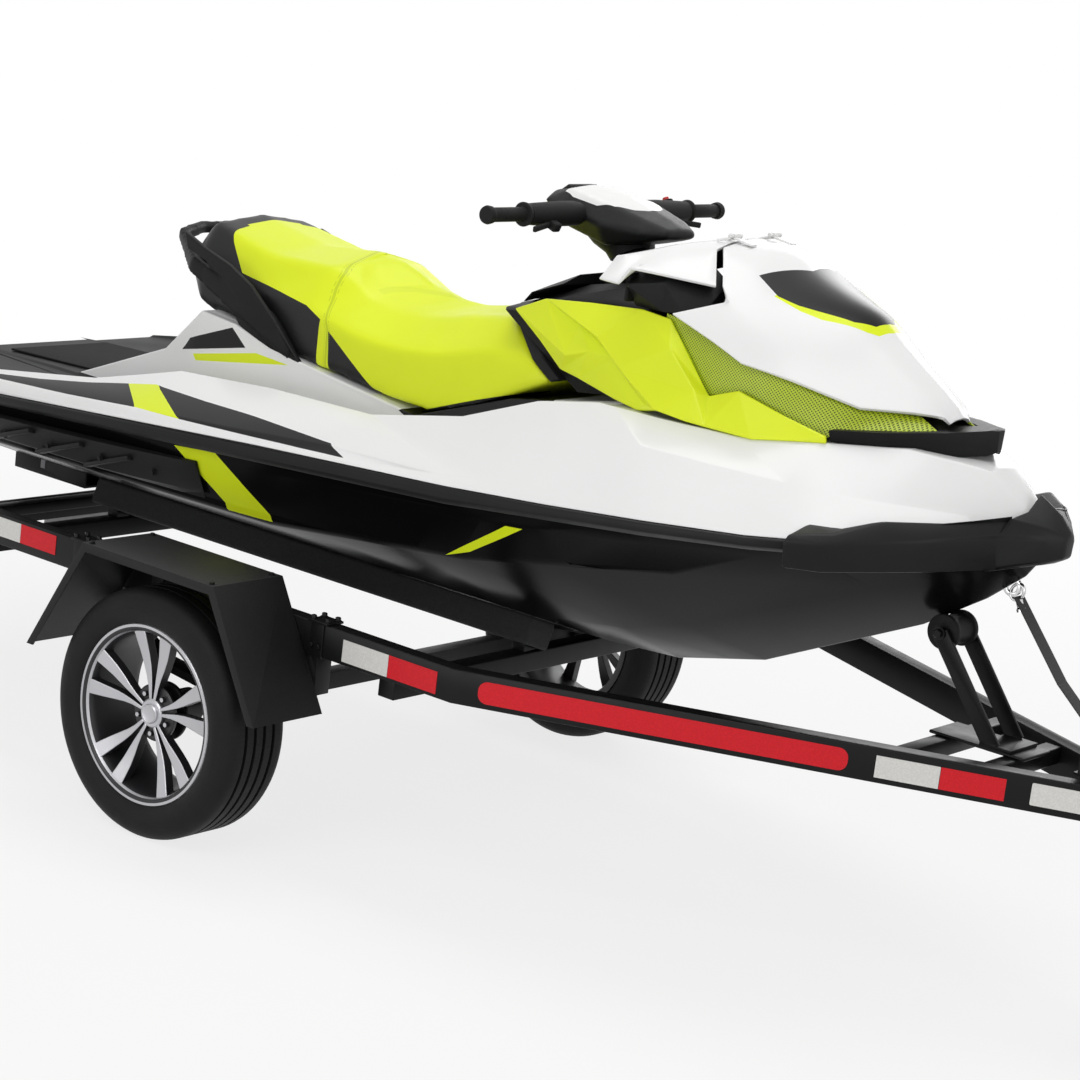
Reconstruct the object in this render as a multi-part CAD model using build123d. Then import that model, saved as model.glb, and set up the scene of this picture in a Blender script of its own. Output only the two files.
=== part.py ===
"""Personal watercraft on its road trailer, each piece written as its own STEP file.

Working axes: X forward to the bow, Y to port, Z up, millimetres, X = 0 at the trailer axle and
Z = 0 at the ground.  On export everything moves by -MID_X, so the row frame's origin lies under
the middle of the whole outline.
"""
import math
import os

from build123d import (Axis, Box, Compound, Cylinder, Face, Location, Plane, Polyline, Pos, Rot, Shell,
                       Solid, Vector, Wire, export_step, make_face, revolve)

# ---------------------------------------------------------------- main sizes
STERN_X = -1487.0        # rear edge of the boarding platform
COUPLER_X = 2413.0       # front of the ball head
MID_X = (STERN_X + COUPLER_X) / 2

# wheels and axle
TYRE_R = 305.5
TYRE_W = 200.0
BEAD_R = 205.0
FLANGE_R = 220.5
RIM_W = 178.0
TRACK = 1614.0
STUB_R = 17.5
RUN = 0.05               # running clearance on a radius
AXLE_SQ = 45.0

# trailer frame
RAIL_W = 45.0
TYRE_GAP = 12.0          # rail to tyre
RAIL_Y = TRACK / 2 - TYRE_W / 2 - TYRE_GAP - RAIL_W / 2     # rail centre
RAIL_H = 80.0
RAIL_TOP = 598.0
RAIL_REAR_X = -1150.0
BEND_X = 767.0
CONVERGE_DEG = 24.8
RAIL_END_Y = 26.0
FENDER_OUT_Y = TRACK / 2 + TYRE_W / 2 + 20
FENDER_IN_Y = RAIL_Y + RAIL_W / 2 + 2
FENDER_T = 4.0

# craft
KEEL_Z = 545.0
HALF_BEAM = 613.0

BODY = {}


# ---------------------------------------------------------------- helpers
def tri(a, b, c):
    return Face(Wire.make_polygon([Vector(*a), Vector(*b), Vector(*c)], close=True))


def distinct(pts):
    out = []
    for p in pts:
        if not out or (Vector(*p) - Vector(*out[-1])).length > 1e-6:
            out.append(p)
    if len(out) > 1 and (Vector(*out[0]) - Vector(*out[-1])).length < 1e-6:
        out.pop()
    return out


def quad(a, b, c, d):
    pts = distinct([a, b, c, d])
    if len(pts) < 3:
        return []
    if len(pts) == 3:
        return [tri(*pts)]
    va, vb, vc, vd = (Vector(*p) for p in pts)
    n = (vb - va).cross(vc - va)
    if n.length > 1e-9 and abs(n.normalized().dot(vd - va)) < 1e-5:
        return [Face(Wire.make_polygon([va, vb, vc, vd], close=True))]
    if (vc - va).length <= (vd - vb).length + 1e-6:
        return [tri(pts[0], pts[1], pts[2]), tri(pts[0], pts[2], pts[3])]
    return [tri(pts[0], pts[1], pts[3]), tri(pts[1], pts[2], pts[3])]


def closed(faces):
    """Sew faces into one solid with its normals outwards."""
    s = Solid(Shell(faces))
    return s if s.volume > 0 else Solid(Shell([-f for f in faces]))


def rings(sections):
    """Closed faceted solid through rings of points; every ring has the same number of points."""
    faces = []
    n = len(sections[0])
    for r0, r1 in zip(sections, sections[1:]):
        for i in range(n):
            j = (i + 1) % n
            faces += quad(r0[i], r0[j], r1[j], r1[i])
    for end in (sections[0], sections[-1]):
        pts = distinct(end)
        if len(pts) >= 3:
            faces.append(Face(Wire.make_polygon([Vector(*p) for p in pts], close=True)))
    return closed(faces)


def mirrored(x, half):
    """Ring at station x from a half outline (y, z) that starts and ends on the centre line."""
    left = [(x, y, z) for y, z in half]
    right = [(x, -y, z) for y, z in reversed(half) if y > 1e-9]
    return left + right


def grid_solid(front, back):
    """Closed solid between two point grids of the same shape (rows of points)."""
    faces = []
    rows, cols = len(front), len(front[0])
    for i in range(rows - 1):
        for j in range(cols - 1):
            faces += quad(front[i][j], front[i][j + 1], front[i + 1][j + 1], front[i + 1][j])
            faces += quad(back[i][j], back[i][j + 1], back[i + 1][j + 1], back[i + 1][j])
    for i in range(rows - 1):
        for j in (0, cols - 1):
            faces += quad(front[i][j], front[i + 1][j], back[i + 1][j], back[i][j])
    for j in range(cols - 1):
        for i in (0, rows - 1):
            faces += quad(front[i][j], front[i][j + 1], back[i][j + 1], back[i][j])
    return closed(faces)


def skin(grid, t):
    """Sheet of thickness t whose outer face is the grid; the inner face is set back along each point's normal."""
    rows, cols = len(grid), len(grid[0])
    v = [[Vector(*p) for p in row] for row in grid]
    back = []
    for i in range(rows):
        row = []
        for j in range(cols):
            a = v[min(i + 1, rows - 1)][j] - v[max(i - 1, 0)][j]
            b = v[i][min(j + 1, cols - 1)] - v[i][max(j - 1, 0)]
            n = a.cross(b).normalized()
            q = v[i][j] - n * t
            row.append((q.X, q.Y, q.Z))
        back.append(row)
    return grid_solid(grid, back)


def full_width(rows):
    """Rows of port points from the edge to the centre line, as rows from the starboard edge to the port edge."""
    return [[(x, -y, z) for x, y, z in row] + row[-2::-1] for row in rows]


def path_bar(points, width, height, up=(0, 0, 1), taper=None):
    """Rectangular bar along a polyline, mitred at its corners; width lies across, height along up."""
    up = Vector(*up)
    pts = [Vector(*p) for p in points]
    ring_list = []
    for i, p in enumerate(pts):
        d0 = (p - pts[i - 1]).normalized() if i else (pts[1] - p).normalized()
        d1 = (pts[i + 1] - p).normalized() if i < len(pts) - 1 else d0
        t = (d0 + d1).normalized()
        side = d0.cross(up).normalized()
        top = side.cross(d0).normalized()
        w, h = (width, height) if taper is None else taper[i]
        ring = []
        for a, b in ((-1, -1), (1, -1), (1, 1), (-1, 1)):
            q = p + side * (a * w / 2) + top * (b * h / 2)
            q = q + d0 * ((p - q).dot(t) / d0.dot(t))
            ring.append((q.X, q.Y, q.Z))
        ring_list.append(ring)
    return rings(ring_list)


def box(x0, x1, y0, y1, z0, z1):
    return Pos((x0 + x1) / 2, (y0 + y1) / 2, (z0 + z1) / 2) * Box(x1 - x0, y1 - y0, z1 - z0)


def rod(p0, p1, r):
    """Round bar between two points."""
    a, b = Vector(*p0), Vector(*p1)
    return Solid.make_cylinder(r, (b - a).length, Plane(origin=a, z_dir=(b - a)))


def turned(profile, axis_point=(0, 0, 0)):
    """Revolve a closed (r, y) profile about the Y axis through axis_point."""
    pts = [(r, y, 0) for r, y in profile]
    face = make_face(Polyline(*pts, close=True))
    return Pos(*axis_point) * revolve(face, Axis.Y, 360)


def flip(shape):
    return shape.mirror(Plane.XZ)


def flip_pts(grid):
    return [[(x, -y, z) for x, y, z in row] for row in grid]


def pair(name, shape):
    """Port piece as given, starboard piece mirrored."""
    BODY[name + "_left"] = shape
    BODY[name + "_right"] = flip(shape)


def both(shape):
    """Port and starboard pieces together as one node."""
    return Compound(list(shape.solids()) + list(flip(shape).solids()))


# ---------------------------------------------------------------- hull
# x, keel z, inner bottom (y, z), chine (y, z), side (y, z), gunwale (y, z)
HULL = [
    (-1400, 545, (250, 632), (470, 709), (520, 800), (540, 838)),
    (-1042, 545, (250, 632), (510, 722), (560, 822), (582, 868)),
    (-620, 545, (250, 632), (525, 728), (578, 846), (600, 900)),
    (0, 545, (250, 632), (530, 740), (585, 880), (604, 943)),
    (615, 545, (250, 632), (520, 800), (585, 915), (604, 978)),
    (900, 562, (235, 668), (490, 850), (570, 945), (600, 1000)),
    (1150, 622, (200, 740), (425, 880), (535, 965), (580, 1020)),
    (1387, 722, (150, 812), (335, 905), (465, 985), (526, 1037)),
    (1550, 812, (105, 868), (235, 925), (355, 998), (448, 1052)),
    (1700, 910, (55, 936), (115, 965), (195, 1008), (275, 1062)),
    (1790, 985, (22, 995), (48, 1008), (85, 1030), (125, 1070)),
]
TUNNEL_X = (-1410, -900)
TUNNEL_Y = 125.0
TUNNEL_Z = 770.0
ENGINE = (-120, 480, 190, 655, 920)     # x0, x1, half width, z0, z1

# ---------------------------------------------------------------- deck
# x, crease (y, z), ridge (y, z), floor outer (y, z), floor inner (y, z), top (y, z); its foot is the gunwale
DECK = [
    (-1400, (535, 872), (510, 895), (485, 884), (215, 884), (205, 888)),
    (-1042, (570, 900), (520, 922), (490, 890), (250, 890), (240, 896)),
    (-700, (580, 925), (490, 965), (455, 896), (285, 896), (250, 1030)),
    (-560, (582, 936), (465, 1000), (430, 899), (292, 899), (266, 1158)),
    (-430, (584, 944), (445, 1034), (410, 901), (294, 901), (272, 1146)),
    (-300, (585, 952), (435, 1044), (398, 903), (294, 903), (274, 1108)),
    (-130, (585, 962), (425, 1048), (385, 905), (292, 905), (272, 1080)),
    (200, (575, 985), (420, 1050), (375, 910), (286, 910), (262, 1036)),
    (486, (530, 1015), (420, 1105), (370, 915), (275, 915), (250, 1136)),
    (700, (510, 1070), (415, 1185), (368, 930), (270, 930), (250, 1172)),
    (860, (495, 1115), (395, 1212), (372, 1205), (262, 1200), (250, 1205)),
    (1051, (478, 1160), (372, 1206), (362, 1206), (262, 1206), (250, 1206)),
    (1211, (450, 1152), (340, 1202), (330, 1203), (240, 1204), (230, 1206)),
    (1387, (398, 1142), (282, 1222), (272, 1222), (180, 1222), (170, 1222)),
    (1550, (300, 1130), (175, 1234), (165, 1234), (90, 1234), (80, 1234)),
    (1700, (150, 1118), (60, 1206), (52, 1208), (34, 1210), (26, 1211)),
    (1790, (70, 1098), (30, 1132), (25, 1134), (15, 1136), (10, 1137)),
]
BAND_X = (-1400, 1480)                  # rub rail, then the bow bumper
BAND_DROP, BAND_W = 0.62, 9.0           # share of the upper side it covers, and its thickness
SPONSON_X = (-1150, -216)
BUMP_SHARE = 0.35                       # how far up the deck flank the bumper reaches
BUMP_STEP_X = 1625                      # where the bumper's top edge steps up


def at(table, x):
    """Row of a station table at x, straight between its neighbours."""
    for r0, r1 in zip(table, table[1:]):
        if r0[0] <= x <= r1[0]:
            f = (x - r0[0]) / (r1[0] - r0[0])
            out = []
            for a, b in zip(r0[1:], r1[1:]):
                out.append(tuple(p + f * (q - p) for p, q in zip(a, b)) if isinstance(a, tuple) else a + f * (b - a))
            return out
    raise ValueError(x)


def between(p, q, f):
    return (p[0] + f * (q[0] - p[0]), p[1] + f * (q[1] - p[1]))


def hull_at(x):
    k, inner_p, chine, side_p, gun = at(HULL, x)
    return {"keel": (0, k), "inner": inner_p, "chine": chine, "s0": between(chine, side_p, 0.15), "s1": between(chine, side_p, 0.9),
            "side": side_p, "low": between(gun, side_p, BAND_DROP), "gun": gun}


STATIONS = sorted({r[0] for r in HULL} | {r[0] for r in DECK} | set(BAND_X) | set(SPONSON_X) | {BUMP_STEP_X})
hull = rings([mirrored(x, list(hull_at(x).values())) for x in STATIONS])
hull = hull - box(TUNNEL_X[0], TUNNEL_X[1], -TUNNEL_Y, TUNNEL_Y, KEEL_Z - 40, TUNNEL_Z)
x0, x1, ey, ez0, ez1 = ENGINE
hull = hull - box(x0 - 20, x1 + 20, -ey - 15, ey + 15, ez0, ez1 + 5)
BODY["hull"] = hull
BODY["engine"] = box(x0, x1, -ey, ey, ez0, ez1)


def deck_at(x):
    crease, ridge, f_out, f_in, top = at(DECK, x)
    gun = hull_at(x)["gun"]
    return {"gun": gun, "c0": between(gun, crease, BUMP_SHARE), "crease": crease, "ridge": ridge, "f_out": f_out, "f_in": f_in,
            "top": top}


# storage bin pocket in the foredeck, and the glove box pocket under the console
BIN = (1080, 1440, 165, 1046)           # x0, x1, half width, floor z
BIN_T = 5.0
platform = {"gun": (470, 862), "c0": (470, 866), "crease": (470, 872), "ridge": (455, 886), "f_out": (440, 880),
            "f_in": (200, 880), "top": (190, 884)}
deck_rings = [mirrored(STERN_X, list(platform.values()))]
for x in STATIONS:
    deck_rings.append(mirrored(x, list(deck_at(x).values())))
deck = rings(deck_rings)
bx0, bx1, by, bz = BIN
deck = deck - box(bx0, bx1, -by, by, bz, 1400)
BODY["deck"] = deck
BIN_RIM_Z = 1262.0
bin_shell = box(bx0 + 1, bx1 - 1, -by + 1, by - 1, bz, BIN_RIM_Z)
bin_shell = bin_shell - box(bx0 + 1 + BIN_T, bx1 - 1 - BIN_T, -by + 1 + BIN_T, by - 1 - BIN_T, bz + BIN_T, 1500)
BODY["storage_bin"] = bin_shell

# ---------------------------------------------------------------- rub rail and bow bumper
def band_ring(x):
    """Rail section on the hull's upper side: inner low, inner high, outer high, outer low."""
    h = hull_at(x)
    low, gun = h["low"], h["gun"]
    return [(x, *low), (x, *gun), (x, gun[0] + BAND_W, gun[1] - 4), (x, gun[0] + BAND_W, low[1] + 12), (x, low[0] + 12, low[1] - 2)]


BODY["rub_rail"] = both(rings([band_ring(x) for x in STATIONS if BAND_X[0] <= x <= BAND_X[1]]))

# x, top outer (y, z), outer high (y, z), outer low (y, z) of the bumper's section
BUMPER = [
    (1480, (505, 1060), (522, 1045), (512, 985)),
    (1550, (452, 1070), (478, 1050), (465, 985)),
    (BUMP_STEP_X, (362, 1110), (402, 1066), (390, 994)),
    (1700, (262, 1114), (322, 1078), (308, 1004)),
    (1790, (124, 1127), (170, 1091), (158, 1018)),
]
side_rings = []
for x in [x for x in STATIONS if BAND_X[1] <= x <= 1790]:
    h, d, b = hull_at(x), deck_at(x), at(BUMPER, x)
    side_rings.append([(x, *h["low"]), (x, *h["gun"]), (x, *d["c0"])] + [(x, *p) for p in b])
side = rings(side_rings)
NOSE = [
    (1790, [(0, 1010), (158, 1018), (170, 1091), (124, 1127), (46, 1140), (0, 1176)]),
    (1850, [(0, 1030), (58, 1032), (66, 1092), (52, 1112), (30, 1120), (0, 1140)]),
    (1880, [(0, 1048), (16, 1048), (20, 1084), (16, 1096), (9, 1102), (0, 1106)]),
]
nose_piece = rings([mirrored(x, h) for x, h in NOSE])
BODY["bow_bumper"] = Compound([side, flip(side), nose_piece])

# ---------------------------------------------------------------- lime side panels and mesh vents
PANEL_T = 20.0
# columns from the seat to the bow: top, crease and low point
PANEL = [
    [(461, 243, 1349), (565, 264, 1292), (650, 283, 1240)],
    [(570, 256, 1396), (673, 302, 1282), (700, 300, 1230)],
    [(690, 272, 1414), (775, 314, 1346), (843, 333, 1211)],
    [(784, 285, 1428), (880, 340, 1318), (920, 352, 1213)],
    [(888, 305, 1427), (962, 350, 1320), (1000, 372, 1219)],
    [(968, 312, 1420), (1060, 354, 1280), (1080, 364, 1214)],
    [(1107, 322, 1273), (1130, 346, 1245), (1130, 352, 1211)],
    [(1185, 320, 1300), (1210, 334, 1255), (1245, 337, 1206)],
    [(1300, 303, 1266), (1312, 306, 1240), (1325, 309, 1217)],
    [(1400, 280, 1238), (1402, 280, 1231), (1403, 279, 1224)],
]
BODY["side_panels"] = both(skin(PANEL, PANEL_T) - deck)
VENT_T = 8.0
# columns from the console to the bow: top edge tucked behind the hood's lip, low edge behind the panel
VENT = [
    [(960, 286, 1428), (966, 289, 1412)],
    [(1110, 300, 1394), (1096, 303, 1284)],
    [(1186, 302, 1364), (1178, 302, 1306)],
    [(1296, 262, 1336), (1296, 284, 1270)],
    [(1400, 206, 1304), (1385, 252, 1242)],
    [(1470, 134, 1295), (1450, 210, 1262)],
    [(1512, 78, 1292), (1575, 78, 1268)],
]
BODY["vent_meshes"] = both(skin(VENT, VENT_T))

# ---------------------------------------------------------------- console, glove box, cowl, hood
# plane of the seat's front end: x = FRONT_X + FRONT_LEAN * (1330 - z)
FRONT_X, FRONT_LEAN, TRIM_X = 395.0, 1.7, 48.0


def behind(shift):
    """Wedge that lies behind the slanted plane, moved forward by shift."""
    def px(z):
        return FRONT_X + FRONT_LEAN * (1330 - z) + shift
    return rings([[(-900, y, 1000), (px(1000), y, 1000), (px(1420), y, 1420), (-900, y, 1420)] for y in (-320, 320)])


CONSOLE = [
    (400, [(0, 1150), (232, 1150), (232, 1336), (220, 1342), (150, 1349), (0, 1349)]),
    (470, [(0, 1150), (238, 1150), (238, 1345), (225, 1352), (150, 1372), (0, 1372)]),
    (610, [(0, 1180), (244, 1180), (244, 1395), (235, 1404), (150, 1430), (0, 1430)]),
    (760, [(0, 1200), (250, 1200), (250, 1414), (240, 1424), (170, 1455), (0, 1460)]),
    (940, [(0, 1210), (250, 1210), (250, 1400), (240, 1420), (170, 1470), (0, 1475)]),
]
console = rings([mirrored(x, h) for x, h in CONSOLE])
GLOVE = (492, 562, 110, 1262)           # x0, x1, half width, floor z
console = console - box(GLOVE[0], GLOVE[1], -GLOVE[2], GLOVE[2], GLOVE[3], 1500)
console = console - deck - BODY["side_panels"] - behind(TRIM_X + 1)
HINGE_X, HINGE_Z, HINGE_R = 440.0, 1357.0, 4.0
console = console - rod((HINGE_X, -53, HINGE_Z), (HINGE_X, 53, HINGE_Z), 11) - box(HINGE_X, 466, -53, 53, HINGE_Z - 6, 1500)
for s in (-1, 1):
    console = console + box(HINGE_X - 9, 474, min(s * 54, s * 64), max(s * 54, s * 64), HINGE_Z - 9, HINGE_Z + 7)
console = console + rod((HINGE_X, -60, HINGE_Z), (HINGE_X, 60, HINGE_Z), HINGE_R)
BODY["console"] = console
lid = rings([mirrored(x, h) for x, h in [
    (442, [(0, 1350), (190, 1350), (196, 1354), (150, 1372), (0, 1374)]),
    (478, [(0, 1384), (200, 1384), (206, 1390), (150, 1402), (0, 1405)]),
    (575, [(0, 1424), (205, 1424), (210, 1428), (150, 1448), (0, 1452)]),
]])
lid = lid - box(380, 700, -260, 260, 1200, 1340)
console_keep = rings([mirrored(x, [(0, h[0][1]), (h[1][0] + 40, h[1][1])] +
                               [(y + (40 if i < 2 else 0), z + 2) for i, (y, z) in enumerate(h[2:])])
                      for x, h in CONSOLE])
lid = lid - console_keep
lid = lid + rod((HINGE_X, -52, HINGE_Z), (HINGE_X, 52, HINGE_Z), 9) + box(HINGE_X, 460, -52, 52, HINGE_Z, HINGE_Z + 9)
for s in (-1, 1):
    lid = lid - box(HINGE_X - 12, 490, min(s * 52, s * 66), max(s * 52, s * 66), HINGE_Z - 12, HINGE_Z + 12)
lid = lid - rod((HINGE_X, -70, HINGE_Z), (HINGE_X, 70, HINGE_Z), HINGE_R + RUN) - console
BODY["glove_box_lid"] = lid

# white cowl with its two wings: columns from the seat to the bow, outer edge to centre line
COWL_T = 8.0
COWL = [
    [(790, 360, 1483), (808, 322, 1538), (800, 130, 1550), (800, 0, 1552)],
    [(845, 362, 1483), (862, 240, 1570), (862, 130, 1574), (862, 0, 1576)],
    [(875, 362, 1524), (905, 225, 1573), (898, 110, 1582), (894, 0, 1584)],
    [(1042, 248, 1506), (968, 158, 1577), (953, 80, 1588), (938, 0, 1594)],
]
cowl = skin(full_width(COWL), COWL_T)
HOOD_HX, HOOD_HZ, HOOD_HR = 955.0, 1602.0, 3.0
HOOD_HY = 80.0                          # middle of each of the two hinges
for s in (-1, 1):
    for d in (-1, 1):
        y = s * HOOD_HY + d * 17
        cowl = cowl + box(HOOD_HX - 40, HOOD_HX - 9, y - 4, y + 4, HOOD_HZ - 22, HOOD_HZ + 4)
        cowl = cowl + box(HOOD_HX - 10, HOOD_HX, y - 4, y + 4, HOOD_HZ - 6, HOOD_HZ + 4) + rod((HOOD_HX, y - 4, HOOD_HZ), (HOOD_HX, y + 4, HOOD_HZ), 7)
    cowl = cowl + rod((HOOD_HX, s * HOOD_HY - 20, HOOD_HZ), (HOOD_HX, s * HOOD_HY + 20, HOOD_HZ), HOOD_HR)
BODY["cowl"] = cowl - console
# x, half outline of the black mirror housing under each wing
MIRROR = [
    (850, [(200, 1424), (288, 1428), (338, 1480), (200, 1550)]),
    (940, [(200, 1424), (304, 1430), (312, 1498), (200, 1558)]),
    (1000, [(200, 1430), (314, 1438), (258, 1486), (200, 1536)]),
    (1036, [(200, 1446), (262, 1460), (236, 1480), (200, 1512)]),
]
mirror_pod = rings([[(x, y, z) for y, z in h] for x, h in MIRROR])
BODY["mirror_pods"] = both(mirror_pod - BODY["cowl"] - console)

HOOD_T = 8.0
# columns from the console to the nose: low edge, lower bend, upper bend, shoulder, centre line
HOOD = [
    [(1000, 350, 1440), (1097, 277, 1482), (1050, 242, 1508), (975, 150, 1580), (948, 0, 1598)],
    [(1110, 340, 1398), (1140, 290, 1455), (1095, 236, 1502), (1050, 112, 1587), (1050, 0, 1600)],
    [(1187, 330, 1363), (1182, 304, 1425), (1150, 230, 1486), (1116, 96, 1540), (1122, 0, 1549)],
    [(1300, 285, 1344), (1272, 236, 1391), (1253, 188, 1450), (1236, 86, 1500), (1246, 0, 1507)],
    [(1372, 244, 1323), (1335, 196, 1370), (1318, 150, 1425), (1314, 70, 1484), (1322, 0, 1490)],
    [(1432, 205, 1304), (1395, 160, 1351), (1374, 110, 1400), (1360, 58, 1434), (1370, 0, 1440)],
    [(1512, 109, 1303), (1479, 88, 1338), (1466, 66, 1358), (1458, 46, 1369), (1470, 0, 1374)],
    [(1555, 52, 1298), (1542, 46, 1310), (1538, 38, 1318), (1535, 30, 1324), (1545, 0, 1330)],
    [(1567, 42, 1284), (1568, 34, 1288), (1570, 26, 1292), (1571, 16, 1294), (1573, 0, 1296)],
]
hood = skin(full_width(HOOD), HOOD_T)
for s in (-1, 1):
    y = s * HOOD_HY
    hood = hood + box(HOOD_HX + 10, HOOD_HX + 45, y - 12.5, y + 12.5, HOOD_HZ - 16, HOOD_HZ + 5)
    hood = hood + box(HOOD_HX, HOOD_HX + 11, y - 12.5, y + 12.5, HOOD_HZ - 6, HOOD_HZ + 5) + rod((HOOD_HX, y - 12.5, HOOD_HZ), (HOOD_HX, y + 12.5, HOOD_HZ), 7)
    for d in (-1, 1):
        k = y + d * 17
        hood = hood - box(HOOD_HX - 20, HOOD_HX + 12, k - 5, k + 5, HOOD_HZ - 30, HOOD_HZ + 10)
    hood = hood - rod((HOOD_HX, y - 30, HOOD_HZ), (HOOD_HX, y + 30, HOOD_HZ), HOOD_HR + RUN)
BODY["hood"] = hood

# black tray rim under the hood's nose
TRAY = [
    (1400, [(0, 1240), (262, 1226), (272, 1252), (0, 1256)]),
    (1500, [(0, 1240), (198, 1214), (212, 1262), (0, 1262)]),
    (1600, [(0, 1240), (96, 1220), (108, 1276), (0, 1266)]),
    (1660, [(0, 1236), (28, 1230), (36, 1288), (0, 1290)]),
    (1674, [(0, 1240), (8, 1240), (12, 1288), (0, 1290)]),
]
tray = rings([mirrored(x, h) for x, h in TRAY])
tray = tray - deck - BODY["side_panels"] - BODY["vent_meshes"]
tray = tray - box(1380, bx1 + 6, -by - 6, by + 6, 1200, 1400)
BODY["nose_tray"] = tray

# ---------------------------------------------------------------- seat
# x, bottom z, edge (y, z), side (y, z), shoulder (y, z), centre z
SEAT = [
    (-700, 1215, (165, 1215), (185, 1270), (145, 1318), 1330),
    (-640, 1165, (200, 1165), (220, 1290), (165, 1378), 1398),
    (-400, 1104, (244, 1104), (244, 1230), (185, 1330), 1354),
    (-200, 1092, (250, 1092), (250, 1222), (170, 1332), 1370),
    (-110, 1085, (254, 1085), (254, 1208), (158, 1296), 1364),
    (-50, 1080, (256, 1080), (255, 1194), (152, 1274), 1346),
    (20, 1070, (257, 1070), (254, 1186), (148, 1262), 1316),
    (90, 1060, (258, 1060), (253, 1184), (148, 1262), 1298),
    (170, 1054, (259, 1054), (252, 1188), (154, 1274), 1296),
    (260, 1052, (260, 1052), (252, 1200), (164, 1294), 1312),
    (400, 1104, (264, 1104), (254, 1235), (178, 1318), 1326),
    (660, 1222, (270, 1222), (262, 1250), (190, 1345), 1352),
]
seat_form = rings([mirrored(x, [(0, zb), e, s, sh, (0, zc)]) for x, zb, e, s, sh, zc in SEAT])
BODY["seat"] = (seat_form & behind(0)) - deck
BODY["seat_trim"] = (seat_form & (behind(TRIM_X) - behind(0.3))) - deck - console - lid - BODY["side_panels"]

# grab handle
HANDLE = [(-215, 266, 1128, 24, 84), (-420, 262, 1196, 26, 66), (-620, 246, 1268, 28, 46), (-770, 150, 1322, 28, 36),
          (-800, 60, 1334, 28, 32), (-800, 0, 1334, 28, 32)]
half_handle = path_bar([h[:3] for h in HANDLE], 28, 34, taper=[h[3:] for h in HANDLE])
handle = half_handle + flip(half_handle)
BODY["grab_handle"] = handle - seat_form - deck

# ---------------------------------------------------------------- deck mats, sponsons
MAT_X = (-1390, -800)
mats = rings([[(x, y, deck_at(x)["top"][1] + dz) for y, dz in ((-180, 0), (180, 0), (180, 6), (-180, 6))]
              for x in STATIONS if -1400 <= x <= -700])
BODY["rear_mat"] = (mats & box(MAT_X[0], MAT_X[1], -185, 185, 870, 1030)) - deck
# share of the length, bottom and top thickness of the sponson's section
SPONSON_RUN = [(-1150, 8, 14), (-1042, 34, 30), (-700, 40, 30), (-500, 40, 30), (-216, 4, 8)]
sp_rings = []
for x in [x for x in STATIONS if SPONSON_X[0] <= x <= SPONSON_X[1]]:
    h = hull_at(x)
    lo_t, hi_t = at(SPONSON_RUN, x)
    sp_rings.append([(x, *h["s0"]), (x, *h["s1"]), (x, h["s1"][0] + hi_t, h["s1"][1] - 4), (x, h["s0"][0] + lo_t, h["s0"][1] + 14)])
BODY["sponsons"] = both(rings(sp_rings))

# ---------------------------------------------------------------- jet drive
SHAFT_Z = 655.0
PUMP_R, PUMP_BORE = 98.0, 80.0
PUMP_END, VENT_END = -1290.0, -1370.0
pump_bore = rod((-1380, 0, SHAFT_Z), (-1120, 0, SHAFT_Z), 44) + rod((PUMP_END + 6, 0, SHAFT_Z), (-1120, 0, SHAFT_Z), PUMP_BORE)
pump = rod((PUMP_END, 0, SHAFT_Z), (-1130, 0, SHAFT_Z), PUMP_R)
pump = pump + box(-1290, -1272, -TUNNEL_Y, TUNNEL_Y, SHAFT_Z - 90, TUNNEL_Z)
pump = pump + Solid.make_cone(85, 52, 22, Plane(origin=(PUMP_END, 0, SHAFT_Z), z_dir=(-1, 0, 0)))
pump = pump + Solid.make_cone(52, 48, 58, Plane(origin=(PUMP_END - 22, 0, SHAFT_Z), z_dir=(-1, 0, 0)))
for s in (-1, 1):
    pump = pump + box(-1380, -1280, -12, 12, min(s * 76, s * 84) + SHAFT_Z, max(s * 76, s * 84) + SHAFT_Z)
    pump = pump + box(-1380, -1280, min(s * 89, s * 97), max(s * 89, s * 97), SHAFT_Z - 12, SHAFT_Z + 12)
pump = pump - pump_bore
for s in (-1, 1):
    pump = pump + rod((-1365, 0, SHAFT_Z + s * 60), (-1365, 0, SHAFT_Z + s * 80), 6)
    pump = pump + rod((-1365, s * 79, SHAFT_Z), (-1365, s * 93, SHAFT_Z), 6)
stator = rod((-1284, 0, SHAFT_Z), (-1250, 0, SHAFT_Z), 26)
for i in range(6):
    stator = stator + Pos(-1267, 0, SHAFT_Z) * Rot(60 * i, 0, 0) * Pos(0, 0, 53) * Box(30, 5, 60)
BODY["jet_pump"] = pump + (stator - rod((-1262, 0, SHAFT_Z), (-1240, 0, SHAFT_Z), 12.5 + RUN))
imp = rod((-1245, 0, SHAFT_Z), (-1160, 0, SHAFT_Z), 28) + rod((-1261, 0, SHAFT_Z), (-905, 0, SHAFT_Z), 12.5)
for i in range(4):
    imp = imp + Pos(-1200, 0, SHAFT_Z) * Rot(90 * i, 0, 0) * Pos(0, 0, 50) * Rot(0, 0, 40) * Box(66, 5, 46)
BODY["impeller"] = imp
NOZZLE_X, NOZZLE_FRONT, NOZZLE_REAR = -1365.0, -1348.0, -1440.0
noz_len = NOZZLE_FRONT - NOZZLE_REAR
noz_out = Solid.make_cone(74, 48, noz_len, Plane(origin=(NOZZLE_FRONT, 0, SHAFT_Z), z_dir=(-1, 0, 0)))
noz_in = Solid.make_cone(66, 41, noz_len + 2, Plane(origin=(NOZZLE_FRONT + 1, 0, SHAFT_Z), z_dir=(-1, 0, 0)))
BODY["steering_nozzle"] = noz_out - noz_in - rod((NOZZLE_X, 0, SHAFT_Z - 100), (NOZZLE_X, 0, SHAFT_Z + 100), 6 + RUN)
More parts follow.
